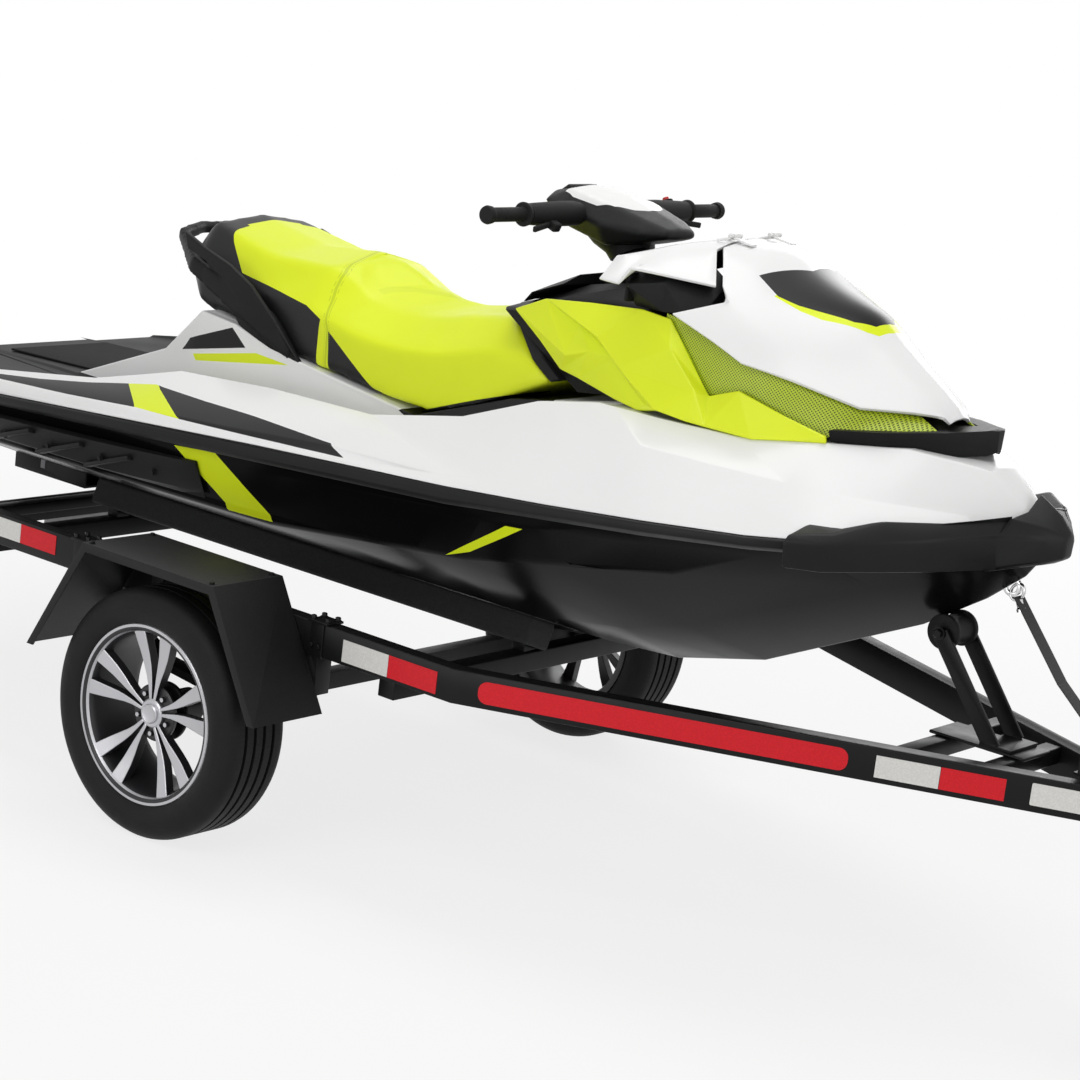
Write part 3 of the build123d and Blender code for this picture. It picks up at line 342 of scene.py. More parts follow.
hull = dressed(moulded("hull_shell", "hull", 0.010, 16), black_gelcoat, FIXED, "black_gelcoat", "hull")

# ------------------------------------------------------------ rub rail and bow bumper
# Soft black vinyl band round the gunwale, and the thick moulded bumper over the bow with a rising fin.
# Both are pushed over the hull-to-deck flange and riveted from inside.
f = soft_vinyl = Finish("soft_vinyl", (0.02, 0.02, 0.021), 0.42, gleam=0.14)
f.mottled(5.0, (0.007, 0.007, 0.0075), (0.015, 0.015, 0.016))
f.worn(30.0, 3, 0.12, 0.36)
f.bump(f.noise(700.0, 2), 0.0003, 0.4)
packed("rub_band", "rub_rail", soft_vinyl, "black_gelcoat", radius=0.003)
packed("bumper_cap", "bow_bumper", soft_vinyl, "black_gelcoat", radius=0.008, sharp=24, segments=3)

# ------------------------------------------------------------ deck
# White gelcoat moulding with pedestal, footwells, and foredeck. Each side carries a black band that narrows
# to a point, a lime slash across it, and a small black triangle with a thin lime strip beside the seat.
f = white_gelcoat = Finish("white_gelcoat", WHITE, 0.2, gleam=0.2)
out = abs(f.y)
top = f.line(f.x, [(-1400, 884), (-1042, 912), (-863, 931), (-700, 953), (-462, 994), (-128, 993), (211, 990),
                   (279, 971)])
low = f.line(f.x, [(-1400, 846), (-988, 908), (-705, 925), (-445, 944), (-280, 948), (-5, 959), (279, 971)])
band = (f.z < top) * (f.z > low) * (out > 0.40) * (f.x < forward(279))
cross = f.patch(f.x, f.z, [(-627, 996), (-464, 997), (-277, 947), (-440, 941)])
triangle = f.patch(f.x, f.z, [(-618, 1044), (-593, 1079), (-440, 1135), (-382, 1093)]) * (out > 0.24) * (out < 0.31)
strip = f.patch(f.x, f.z, [(-569, 1042), (-342, 1087), (-226, 1078), (-553, 1027)]) * (out > 0.24) * (out < 0.31)
wells = (f.z < f.line(f.x, [(-1400, 893), (-1042, 899), (-700, 905), (-430, 905), (200, 915), (486, 920),
                            (700, 934)])) * (out < 0.49) * (f.x < 0.24)
stern = (f.x < forward(-1401)) * (f.z > 0.866)
under = f.patch(f.x, f.z, [(150, 1038), (214, 1016), (600, 1138), (660, 1200), (400, 1200)]) * (out < 0.275)
dark = band.most(wells).most(stern).most(triangle).most(under)
paint = f.mix(f.noise(2.5, 3), (0.77, 0.77, 0.765), (0.83, 0.83, 0.825))
# Painted reflection: the black areas run from black at the stern to a lighter black towards the bow, standing for the
# sheen on the glossy gelcoat.
black_with_painted_reflection = f.mix(f.ramp(f.x, -1.1, -0.15, 0.0, 1.0), (0.002, 0.002, 0.0025), (0.012, 0.012, 0.0125))
f.feed("Base Color", f.mix((cross * band).most(strip), f.mix(dark, paint, black_with_painted_reflection), LIME))
f.feed("Roughness", wells * 0.35 + f.noise(9.0, 3) * 0.08 + 0.15)
f.bump(f.noise(40.0, 2), 0.0004, 0.2)
dressed(moulded("deck_moulding", "deck", 0.012, 16), white_gelcoat, FIXED, "white_gelcoat", "deck")

# ------------------------------------------------------------ hood and cowl
# Hinged front cover and the fixed cowl behind it, both white gelcoat. The cover has a dark smoked window
# panel across its top with a lime accent under it; both are drawn in plan so they run over the centre line.
f = hood_gelcoat = Finish("hood_gelcoat", WHITE, 0.18, gleam=0.12)
out = abs(f.y)
window = f.patch(f.x, out, [(1128, -5), (1089, 161), (1155, 172), (1200, 153), (1308, 82), (1340, 40), (1343, -5)])
rim_line = f.patch(f.x, out, [(1128, -5), (1150, 180), (1161, 177), (1209, 165), (1259, 140), (1340, 72), (1358, 50),
                              (1364, -5)])
accent = rim_line * (1 - window) * (f.x > forward(1150))
paint = f.mix(f.noise(2.5, 3), (0.78, 0.78, 0.775), (0.84, 0.84, 0.835))
tinted = f.mix(f.ramp(f.x, 0.62, 0.88, 0.0, 1.0), (0.025, 0.025, 0.026), (0.006, 0.006, 0.0065))
f.feed("Base Color", f.mix(window, f.mix(accent, paint, LIME), tinted))
f.feed("Roughness", window * 0.12 + f.noise(9.0, 3) * 0.06 + 0.14)
f.bump(window * 0.5 + f.noise(40.0, 2) * 0.1, 0.003, 0.35)


def spot(x, y, z):
    """Point of the drawing, in mm from the trailer's axle, in the frame's metres."""
    return Vector((forward(x), y / 1000, z / 1000))


def faced(piece, outward):
    """In edit mode: points every face of an open sheet the same way, outwards."""
    bpy.ops.mesh.select_all(action="SELECT")
    bpy.ops.mesh.normals_make_consistent(inside=False)
    grid = bmesh.from_edit_mesh(piece.data)
    if sum(face.normal.dot(Vector(outward)) * face.calc_area() for face in grid.faces) < 0:
        bpy.ops.mesh.flip_normals()


def walled(piece, thickness):
    """Gives a sheet its thickness in mm, inwards from the drawn face."""
    modified(piece, "SOLIDIFY", thickness=thickness / 1000, offset=-1)


def sheet(name, columns, thickness, levels=3, outward=(0, 0, 1)):
    """Curved sheet: a grid is laid through the columns of points, smoothed inside its straight-edged outline,
    given its thickness inwards and rounded along the rim."""
    across_count, up_count = len(columns), len(columns[0])
    bpy.ops.mesh.primitive_grid_add(x_subdivisions=across_count - 1, y_subdivisions=up_count - 1, size=2,
        location=(0, 0, 0))
    piece = bpy.context.object
    bpy.ops.object.mode_set(mode="EDIT")
    grid = bmesh.from_edit_mesh(piece.data)
    for v in grid.verts:
        i, j = round((v.co.x + 1) / 2 * (across_count - 1)), round((v.co.y + 1) / 2 * (up_count - 1))
        v.co = spot(*columns[i][j])
        v.select_set(v.is_boundary)
    grid.select_flush_mode()
    bmesh.update_edit_mesh(piece.data)
    bpy.ops.mesh.select_mode(type="VERT")
    bpy.ops.transform.vert_crease(value=1.0)
    faced(piece, outward)
    close_edit()
    modified(piece, "SUBSURF", levels=levels, render_levels=levels)
    walled(piece, thickness)
    bevelled(piece, 0.0018, 2, 45)
    piece.name = piece.data.name = name
    smooth_below(40)
    return piece


def both_halves(rows):
    """Columns drawn from the port edge to the centre line, carried on to the starboard edge."""
    return [[(x, -y, z) for x, y, z in row] + row[-2::-1] for row in rows]


hood_columns = both_halves([
    [(1000, 350, 1440), (1097, 277, 1482), (1050, 242, 1508), (975, 150, 1580), (950, 0, 1596)],
    [(1110, 340, 1398), (1140, 290, 1455), (1095, 236, 1502), (1050, 112, 1583), (1050, 0, 1596)],
    [(1187, 330, 1363), (1182, 304, 1425), (1150, 230, 1486), (1116, 96, 1540), (1122, 0, 1549)],
    [(1300, 285, 1344), (1272, 236, 1391), (1253, 188, 1450), (1236, 86, 1500), (1246, 0, 1509)],
    [(1372, 244, 1323), (1335, 196, 1370), (1318, 150, 1425), (1314, 70, 1478), (1322, 0, 1489)],
    [(1432, 205, 1304), (1395, 160, 1351), (1374, 110, 1400), (1360, 58, 1436), (1370, 0, 1446)],
    [(1512, 109, 1303), (1479, 88, 1338), (1466, 66, 1358), (1458, 46, 1371), (1470, 0, 1378)],
    [(1555, 52, 1298), (1542, 46, 1310), (1538, 38, 1318), (1535, 30, 1324), (1545, 0, 1330)],
    [(1567, 42, 1284), (1568, 34, 1288), (1570, 26, 1292), (1571, 16, 1294), (1573, 0, 1296)]])
dressed(sheet("hood_cover", hood_columns, 7), hood_gelcoat, "hood", "white_gelcoat", "hood")
f = cowl_gelcoat = Finish("cowl_gelcoat", WHITE, 0.18, gleam=0.2)
f.mottled(2.5, (0.78, 0.78, 0.775), (0.84, 0.84, 0.835))
f.worn(9.0, 3, 0.06, 0.15)
cowl_columns = both_halves([
    [(790, 360, 1483), (808, 322, 1538), (800, 130, 1550), (800, 0, 1552)],
    [(845, 362, 1483), (862, 240, 1570), (862, 130, 1574), (862, 0, 1576)],
    [(875, 362, 1524), (905, 225, 1573), (898, 110, 1582), (894, 0, 1584)],
    [(1038, 250, 1506), (964, 160, 1575), (946, 80, 1586), (936, 0, 1592)]])
dressed(sheet("cowl_wings", cowl_columns, 7), cowl_gelcoat, FIXED, "white_gelcoat", "cowl")

# ------------------------------------------------------------ side panels and mesh vents
# Lime moulded panels clipped to the deck under the mirrors, and the fine lime mesh that fills the gap
# between each panel and the hood's lower edge.
f = lime_panel = Finish("lime_panel", LIME, 0.3, gleam=0.3)
f.mottled(3.0, (0.70, 0.82, 0.016), (0.80, 0.90, 0.022))
f.worn(12.0, 3, 0.1, 0.26)
f.bump(f.noise(500.0, 2), 0.0002, 0.3)
panel_points = {"a": (461, 243, 1349), "rear": (565, 264, 1292), "tip": (650, 283, 1240), "b": (562, 256, 1392),
                "c": (716, 279, 1411), "d": (883, 305, 1427), "e": (968, 309, 1420), "s": (776, 324, 1343),
                "k": (867, 348, 1290), "i": (1001, 373, 1221), "l1": (684, 274, 1355), "l2": (816, 306, 1304),
                "l3": (954, 350, 1222), "m": (679, 307, 1281), "n": (751, 313, 1303), "lo1": (717, 301, 1234),
                "lo2": (853, 333, 1214), "bt": (933, 352, 1207), "v1": (994, 336, 1361), "v2": (1087, 348, 1277),
                "vv": (1107, 322, 1273), "low": (1080, 366, 1212), "t1": (1185, 322, 1300), "t2": (1300, 304, 1266),
                "t3": (1400, 281, 1238), "b1": (1130, 356, 1209), "b2": (1245, 340, 1204), "b3": (1325, 311, 1215),
                "b4": (1403, 280, 1223)}
panel_folds = ("a rear m", "rear tip m", "m tip n", "tip lo1 n", "n lo1 lo2 l2", "l2 lo2 bt l3", "a m l1 b", "m n l1",
               "n l2 l1", "b l1 s", "l1 l2 k s", "l2 l3 i k", "l3 bt i", "b s c", "c s d", "d s k", "d k v1",
               "k v2 v1", "k i v2", "d v1 e", "v1 v2 vv e", "v2 i low b1", "v2 b1 vv", "vv b1 t1", "t1 b1 b2",
               "t1 b2 t2", "t2 b2 b3", "t2 b3 t3", "t3 b3 b4")


def folded(name, points, folds, thickness, radius):
    """Folded sheet: flat facets between named points, given a thickness inwards and a small radius on each fold."""
    bpy.ops.mesh.primitive_plane_add(size=1, location=(0, 0, 0))
    piece = bpy.context.object
    bpy.ops.object.mode_set(mode="EDIT")
    bpy.ops.mesh.delete(type="VERT")
    grid = bmesh.from_edit_mesh(piece.data)
    corner = {key: grid.verts.new(spot(*place)) for key, place in points.items()}
    for fold in folds:
        grid.faces.new([corner[key] for key in fold.split()])
    bmesh.update_edit_mesh(piece.data)
    bpy.ops.mesh.select_all(action="SELECT")
    bpy.ops.mesh.quads_convert_to_tris()
    faced(piece, (0, 1, 0))
    close_edit()
    walled(piece, thickness)
    bevelled(piece, radius / 1000, 3, 5)
    piece.name = piece.data.name = name
    smooth_below(12)
    return piece


def across(piece, name):
    """Mirror copy of a finished piece on the other side of the centre line."""
    alone(piece)
    bpy.ops.object.duplicate()
    twin = bpy.context.object
    twin.scale.y = -1
    apply_place()
    edit_all()
    bpy.ops.mesh.normals_make_consistent(inside=False)
    close_edit()
    twin.name = twin.data.name = name
    return twin


def on_both_sides(piece, twin_name, finish, body, slot):
    """Finishes a piece and its mirror copy."""
    for each in (piece, across(piece, twin_name)):
        dressed(each, finish, body, slot)


def together(name, *pieces):
    """Joins finished pieces into one."""
    bpy.ops.object.select_all(action="DESELECT")
    for piece in pieces:
        piece.select_set(True)
    bpy.context.view_layer.objects.active = pieces[0]
    bpy.ops.object.join()
    pieces[0].name = name
    return pieces[0]


port_panel = folded("panel_port", panel_points, panel_folds, 12, 3)
dressed(together("lime_side_panels", port_panel, across(port_panel, "panel_starboard")), lime_panel, FIXED,
        "lime_panel", "side_panels")
f = lime_mesh = Finish("lime_mesh", (0.4, 0.5, 0.02), 0.45)
one_way = (f.x + f.z) * 130.0
other_way = (f.x - f.z) * 130.0
holes = ((abs(one_way % 1.0 - 0.5)) < 0.27) * ((abs(other_way % 1.0 - 0.5)) < 0.27)
f.feed("Base Color", f.mix(holes, (0.46, 0.58, 0.02), (0.09, 0.11, 0.008)))
f.feed("Roughness", holes * 0.3 + 0.4)
f.bump(1 - holes, 0.002, 0.7)
vent_columns = [[(948, 300, 1430), (950, 301, 1400)], [(1108, 308, 1397), (1084, 312, 1268)],
                [(1186, 305, 1366), (1176, 307, 1290)], [(1296, 264, 1340), (1296, 286, 1256)],
                [(1400, 208, 1307), (1385, 255, 1232)], [(1470, 136, 1297), (1450, 212, 1254)],
                [(1512, 80, 1294), (1575, 80, 1262)]]
port_vent = sheet("vent_port", vent_columns, 6, levels=2, outward=(0, 1, 0))
dressed(together("mesh_vent_panels", port_vent, across(port_vent, "vent_starboard")), lime_mesh, FIXED, "lime_panel",
        "vent_meshes")

# ------------------------------------------------------------ console, glove box lid, tray, mirror housings
# Grained black plastic mouldings: the console under the handlebar with its hinged lid, the tray rim under
# the hood's nose, the housings behind the cowl's wings, and the seat's front and steering trims.
f = black_plastic = Finish("black_plastic", (0.022, 0.022, 0.023), 0.5, gleam=0.14)
f.mottled(6.0, (0.005, 0.005, 0.0055), (0.011, 0.011, 0.0115))
f.worn(40.0, 3, 0.14, 0.42)
f.bump(f.cells(900.0), 0.0003, 0.45)
for name, node, body in (("console_moulding", "console", FIXED), ("glove_lid", "glove_box_lid", "glove_box_lid"),
                         ("nose_rim", "nose_tray", FIXED), ("mirror_housings", "mirror_pods", FIXED),
                         ("seat_front_trim", "seat_trim", FIXED), ("column_cover", "steering_column", FIXED),
                         ("gear_bin", "storage_bin", FIXED)):
    packed(name, node, black_plastic, "black_plastic", body, radius=0.004, sharp=25, segments=3)

# ------------------------------------------------------------ seat
# Moulded foam under stretched marine vinyl: lime panels, black at the rear wrap, along the foot and in the
# front corner, joined by sewn seams and a lime piping line. It lifts off on a rear latch.
f = seat_vinyl = Finish("seat_vinyl", LIME, 0.36, gleam=0.25)
out = abs(f.y)
foot = f.line(f.x, [(-700, 1420), (-600, 1400), (-546, 1338), (-469, 1271), (-215, 1233), (-155, 1208), (-154, 1050),
                    (-120, 1050), (-119, 1050), (99, 1036), (185, 1040), (391, 1113), (619, 1187), (760, 1230)])
corner = f.patch(f.x, f.z, [(-122, 1186), (99, 1036), (60, 1020), (-106, 1040)])
pipe = f.patch(f.x, f.z, [(-156, 1215), (-124, 1215), (-104, 1050), (-136, 1050)])
black_zone = ((f.z < foot).most(corner)) * (1 - pipe) * (out > 0.10)
rear = (f.x < forward(-588))
seam_x = f.line(f.z, [(1060, -118), (1189, -124), (1238, -150), (1281, -165), (1322, -169), (1347, -188),
                      (1375, -206)], origin=0)
welt = abs(f.x + 0.463 - seam_x) < 0.0035
dish_z = f.line(out, [(0, 1300), (58, 1303), (105, 1296), (143, 1284), (165, 1268)], origin=0)
dish_crease_and_shade = (abs(f.z - dish_z) < 0.004) * (f.x > forward(-100)) * (f.x < forward(95)) * (out < 0.128)
stitch = (abs(abs(f.x + 0.463 - seam_x) - 0.008) < 0.0012) * (((f.z + out) * 170.0) % 1.0 > 0.4)
grain = f.cells(420.0)
lime = f.mix(f.noise(4.0, 3), (0.69, 0.80, 0.018), (0.78, 0.88, 0.026))
dark = f.mix(f.noise(8.0, 3), (0.006, 0.006, 0.0065), (0.014, 0.014, 0.015))
zones = f.mix(black_zone.most(rear), lime, dark)
# Seams and stitching are darker lime; along the dish crease the lime is painted a little darker too, as painted shade
# in the crease.
f.feed("Base Color", f.mix((welt.most(stitch)) * 0.45 + dish_crease_and_shade * 0.12, zones, (0.33, 0.42, 0.02)))
f.worn(25.0, 3, 0.12, 0.32)
f.bump(grain * 0.25 - welt * 1.2 - dish_crease_and_shade * 0.6 - black_zone * 0.6, 0.0012, 0.6)


def cushion(name, node, voxel, rounds):
    """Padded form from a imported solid: one skin at an even mesh size, then relaxed so the edges round over."""
    piece = welded(name, node, radius=0)
    modified(piece, "REMESH", mode="VOXEL", voxel_size=voxel)
    modified(piece, "SMOOTH", factor=0.5, iterations=rounds)
    bpy.ops.object.shade_smooth()
    return piece


seat = cushion("seat_cushion", "seat", 0.009, 22)
for v in seat.data.vertices:
    width, height, length = abs(v.co.y) * 1000, v.co.z * 1000, v.co.x * 1000 + DRAWING_X
    deep = 1 - (width / 165) ** 2 - ((height - 1338 + 60 * (width / 160) ** 2) / 36) ** 2
    if deep > 0 and -175 < length < 95:
        v.co -= Vector((0.010, 0, 0.004)) * min(1, deep * 1.6)
seat = dressed(seat, seat_vinyl, FIXED, "lime_vinyl", "seat")

# ------------------------------------------------------------ rear mat, sponsons, grab handle
# Ribbed foam mat on the boarding deck, black stabiliser sponsons screwed to the hull's chine, and the
# moulded grab handle that loops round the seat's tail, with a folded blade down each side.
f = mat_foam = Finish("mat_foam", (0.02, 0.02, 0.02), 0.8, gleam=0.1)
ribs = (abs((f.y * 55.0) % 1.0 - 0.5)) < 0.36
f.mottled(30.0, (0.009, 0.009, 0.009), (0.018, 0.018, 0.018))
f.bump(ribs * 1.0 + f.noise(400.0, 2) * 0.3, 0.002, 0.8)
packed("boarding_mat", "rear_mat", mat_foam, "mat_foam", radius=0.002)
f = sponson_plastic = Finish("sponson_plastic", (0.03, 0.03, 0.031), 0.5, gleam=0.14)
f.mottled(6.0, (0.006, 0.006, 0.0065), (0.012, 0.012, 0.0125))
f.bump(f.noise(600.0, 2), 0.0004, 0.4)
packed("sponson_pair", "sponsons", sponson_plastic, "black_gelcoat", radius=0.006, sharp=25, segments=3)


def closed(name, angle=35):
    """Leaves edit mode, merges doubles, points faces outwards, applies the place and smooths by angle."""
    piece = bpy.context.object
    if piece.mode != "EDIT":
        edit_all()
    bpy.ops.mesh.remove_doubles(threshold=0.00002)
    bpy.ops.mesh.normals_make_consistent(inside=False)
    close_edit()
    apply_place()
    piece.name = piece.data.name = name
    smooth_below(angle)
    return piece


def choose(piece, kind, test):
    """In edit mode: selects the faces or the edges that pass the test."""
    grid = bmesh.from_edit_mesh(piece.data)
    for each in getattr(grid, kind):
        each.select_set(test(each))
    bmesh.update_edit_mesh(piece.data)


def slab(name, middle, size, radius=1.5, along=None, up=(0, 0, 1), taper=None):
    """Block with rounded edges: size in mm, along is the direction of its length, taper narrows its far end."""
    bpy.ops.mesh.primitive_cube_add(size=1.0, location=(0, 0, 0))
    piece = bpy.context.object
    piece.scale = [s / 1000 for s in size]
    bpy.ops.object.transform_apply(location=False, rotation=False, scale=True)
    bpy.ops.object.mode_set(mode="EDIT")
    if taper:
        choose(piece, "faces", lambda face: face.normal.x > 0.9)
        bpy.ops.transform.resize(value=(1, taper[0], taper[1]), center_override=(size[0] / 2000, 0, 0))
    bpy.ops.mesh.select_all(action="SELECT")
    bpy.ops.mesh.bevel(offset=radius / 1000, segments=3, affect="EDGES")
    if along:
        ahead = Vector(along).normalized()
        left = Vector(up).cross(ahead).normalized()
        piece.matrix_world = Matrix((ahead, left, ahead.cross(left))).transposed().to_4x4()
    piece.location = spot(*middle)
    bpy.context.view_layer.update()
    return closed(name)


def set_up(piece, middle, axis):
    """Puts a piece drawn along Z at the middle, with its length on the axis."""
    turn = Vector((0, 0, 1)).rotation_difference(Vector(axis)).to_matrix().to_4x4()
    piece.matrix_world = Matrix.Translation(spot(*middle)) @ turn
    bpy.context.view_layer.update()


def bolt(name, middle, axis, radius=7.0, height=6.0):
    """Hexagon bolt head with a chamfered top, standing on its washer."""
    bpy.ops.mesh.primitive_cylinder_add(vertices=6, radius=radius / 1000, depth=height / 1000,
        location=(0, 0, height / 2000))
    head = bpy.context.object
    bpy.ops.object.mode_set(mode="EDIT")
    choose(head, "faces", lambda face: face.normal.z > 0.9)
    bpy.ops.mesh.inset(thickness=radius * 0.00014)
    bpy.ops.transform.translate(value=(0, 0, height * 0.00018))
    head = closed(name)
    bpy.ops.mesh.primitive_cylinder_add(vertices=20, radius=radius * 0.00142, depth=0.0018, location=(0, 0, 0))
    washer = closed(name + "_washer")
    head = together(name, head, washer)
    set_up(head, middle, axis)
    apply_place()
    return head


fins = []
for number, ends in enumerate((((-985, -566, 752), (-806, -596, 808)), ((-800, -572, 752), (-606, -600, 814)),
                               ((-612, -574, 758), (-434, -592, 816)))):
    a, b = (Vector(end) for end in ends)
    fins.append(slab("fin_%d" % number, (a + b) / 2, ((b - a).length, 26, 11), 2.5, along=b - a, up=(0, 0.12, 1),
                     taper=(0.9, 2.4)))
for number, (x, y, z) in enumerate(((-930, -578, 770), (-745, -592, 782), (-545, -594, 792), (-368, -576, 792))):
    fins.append(bolt("screw_%d" % number, (x, y, z), (0, -0.96, -0.2), 7, 5))
fin_set = together("sponson_fins_starboard", *fins)
on_both_sides(fin_set, "sponson_fins_port", sponson_plastic, FIXED, "black_gelcoat")
HANDLE_FOOT = ((-467, 1290), (-382, 1250), (-286, 1174), (-190, 1083))     # length and top of the sloping leg, mm
loop = cushion("grab_loop", "grab_handle", 0.006, 16)
for v in loop.data.vertices:
    length = v.co.x * 1000 + DRAWING_X
    for (x0, z0), (x1, z1) in zip(HANDLE_FOOT, HANDLE_FOOT[1:]):
        if x0 <= length < x1:
            v.co.z = min(v.co.z, (z0 + (z1 - z0) * (length - x0) / (x1 - x0)) / 1000)
dressed(loop, black_plastic, FIXED, "black_plastic", "grab_handle")
blade_points = {"u0": (-655, 262, 1350), "u1": (-567, 272, 1321), "u2": (-467, 279, 1295), "u3": (-382, 281, 1256),
                "u4": (-286, 279, 1180), "u5": (-190, 272, 1088), "m0": (-640, 262, 1308), "m1": (-556, 270, 1286),
                "m2": (-472, 275, 1250), "m3": (-400, 277, 1200), "m4": (-318, 275, 1132), "m5": (-262, 270, 1089),
                "l1": (-545, 260, 1262), "l2": (-452, 262, 1173), "l3": (-390, 263, 1098)}
blade_folds = ("u0 m0 m1 u1", "u1 m1 m2 u2", "u2 m2 m3 u3", "u3 m3 m4 u4", "u4 m4 m5 u5", "m1 l1 m2", "m2 l1 l2",
               "m2 l2 m3", "m3 l2 l3", "m3 l3 m4", "m4 l3 m5")
blade = folded("handle_blade_port", blade_points, blade_folds, 14, 4)
dressed(together("handle_blades", blade, across(blade, "handle_blade_starboard")), black_plastic, FIXED,
        "black_plastic")

# ------------------------------------------------------------ jet drive
# Cast pump housing with stator, steering nozzle and reverse bucket in dark anodised metal, a stainless
# impeller and eyes, and the plastic ride plate and intake grate under the tunnel.
f = cast_metal = Finish("cast_metal", (0.12, 0.12, 0.125), 0.45, metallic=0.9)
f.worn(60.0, 4, 0.2, 0.35)
f.bump(f.noise(300.0, 3), 0.0006, 0.5)
f = bright_steel = Finish("bright_steel", (0.62, 0.62, 0.63), 0.22, metallic=1.0)
f.feed("Roughness", f.noise(120.0, 3, vector=f.stretched(1, 1, 20)) * 0.18 + 0.14)
for name, node, body in (("pump_housing", "jet_pump", FIXED), ("nozzle_casting", "steering_nozzle", "nozzle"),
                         ("reverse_gate", "reverse_bucket", "bucket"), ("engine_block", "engine", FIXED)):
    packed(name, node, cast_metal, "dark_metal", body, radius=0.002)
for name, node, body in (("impeller_wheel", "impeller", "impeller"), ("bow_towing_eye", "bow_eye", FIXED),
                         ("stern_tie_eyes", "stern_eyes", FIXED)):
    packed(name, node, bright_steel, "stainless", body, radius=0.002)
for name, node in (("ride_plate_cast", "ride_plate"), ("grate_bars", "intake_grate")):
    packed(name, node, black_plastic, "black_plastic", radius=0.002)

# ------------------------------------------------------------ mirror glasses
# Each mirror is a silvered glass in the rear face of its housing, glued behind a black rim that is
# clipped to the housing.
f = mirror_silver = Finish("mirror_silver", (0.78, 0.79, 0.81), 0.04, metallic=1.0)
f.worn(20.0, 2, 0.02, 0.03)
rim = slab("mirror_rim", (848, -272, 1472), (8, 116, 66), 6, taper=(0.92, 0.9))
on_both_sides(rim, "mirror_rim_port", black_plastic, FIXED, "black_plastic")
silver = slab("mirror_glass", (843.4, -272, 1472), (3, 98, 50), 1.4)
on_both_sides(silver, "mirror_glass_port", mirror_silver, FIXED, "stainless")

# ------------------------------------------------------------ steering pod, bar and grips
# Black moulded pod over the column with its gauge, the steel bar that passes through it, sleeves, levers,
# a stop switch and rubber grips, all turning with the bar; a fixed shroud closes the cowl below the pod.
f = pod_plastic = Finish("pod_plastic", (0.02, 0.02, 0.021), 0.45, gleam=0.16)
out = abs(f.y)
pad = f.patch(f.x, out, [(446, -5), (448, 84), (482, 96), (560, 100), (604, 88), (640, 56), (656, 18),
                         (657, -5)]) * (f.z > 1.590)
lip = f.patch(f.x, out, [(438, -5), (440, 90), (480, 103), (562, 107), (610, 94), (648, 60), (666, 20),
                         (667, -5)]) * (f.z > 1.586)
f.feed("Base Color", f.mix(pad, f.mix(f.noise(6.0, 3), (0.004, 0.004, 0.0045), (0.010, 0.010, 0.0105)),
                           (0.80, 0.80, 0.79)))
f.feed("Roughness", f.noise(40.0, 3) * 0.12 + 0.34 - pad * 0.2)
f.bump(lip * -1.0 + pad * 2.0 + f.cells(900.0) * (1 - pad) * 0.2, 0.003, 0.7)
dressed(cushion("pod_shell", "steering_pod", 0.005, 14), pod_plastic, "steering", "black_plastic", "steering_pod")
f = satin_black = Finish("satin_black_steel", (0.02, 0.02, 0.021), 0.38, gleam=0.16)
f.mottled(8.0, (0.004, 0.004, 0.0045), (0.009, 0.009, 0.0095))
f.worn(25.0, 4, 0.2, 0.28)
f.bump(f.noise(150.0, 3), 0.0004, 0.3)
packed("bar_tube", "handlebar", satin_black, "black_steel", "steering", radius=0.001)
f = grip_rubber = Finish("grip_rubber", (0.010, 0.010, 0.010), 0.65, gleam=0.15)
f.bump(((f.y * 130.0) % 1.0 > 0.35) * 1.0, 0.002, 0.7)
packed("grip_sleeves", "grips", grip_rubber, "mat_foam", "steering", radius=0.003)


def spun(name, middle, axis, profile, steps=48):
    """Turned part: the profile (distance along the axis, radius, in mm) is drawn point by point by extruding
    one vertex, then spun a full turn round the axis."""
    bpy.ops.mesh.primitive_plane_add(size=0.001, location=(0, 0, 0))
    piece = bpy.context.object
    edit_all()
    bpy.ops.mesh.merge(type="CENTER")
    here = Vector((profile[0][1] / 1000, 0, profile[0][0] / 1000))
    bpy.ops.transform.translate(value=here)
    for h, r in profile[1:]:
        there = Vector((r / 1000, 0, h / 1000))
        bpy.ops.mesh.extrude_region_move(TRANSFORM_OT_translate={"value": there - here})
        here = there
    bpy.ops.mesh.select_all(action="SELECT")
    bpy.ops.mesh.spin(steps=steps, angle=math.tau, center=(0, 0, 0), axis=(0, 0, 1))
    close_edit()
    set_up(piece, middle, axis)
    return closed(name)


BAR_X, BAR_Z = 520, 1585     # the bar's centre line, mm
flange = spun("grip_flange", (BAR_X, -322, BAR_Z), (0, -1, 0),
              [(-7, 11.5), (-7, 24), (-4, 28), (2, 29), (5, 26), (6, 18), (14, 17.5), (14, 11.5), (-7, 11.5)])
tip = spun("grip_tip", (BAR_X, -449, BAR_Z), (0, -1, 0), [(-8, 0), (-8, 20), (4, 22), (10, 20), (12, 12), (12, 0)])
sleeve = spun("bar_sleeve", (BAR_X, -120, BAR_Z), (0, -1, 0),
              [(0, 27), (20, 30), (70, 30), (110, 28.5), (165, 26.5), (192, 25), (194, 20), (194, 11.5), (0, 11.5),
               (0, 27)])
lever = slab("lever_blade", (552, -290, 1560), (80, 9, 14), 3, along=(0.25, -1, -0.10), up=(0, 0, 1), taper=(0.7, 0.7))
lever_pivot = slab("lever_knuckle", (548, -240, 1562), (30, 26, 22), 5, along=(1, 0, -0.4))
fittings = together("bar_fittings_starboard", flange, tip, sleeve, lever, lever_pivot)
COLUMN_TILT = math.radians(28)     # the steering axis leans back by this
neck = spun("pod_neck", (593.3, 0, 1527.8), (-math.sin(COLUMN_TILT), 0, math.cos(COLUMN_TILT)),
            [(-32, 48), (-32, 56), (-10, 62), (20, 84), (38, 92), (38, 30), (-32, 30), (-32, 48)])
dressed(neck, black_plastic, "steering", "black_plastic")
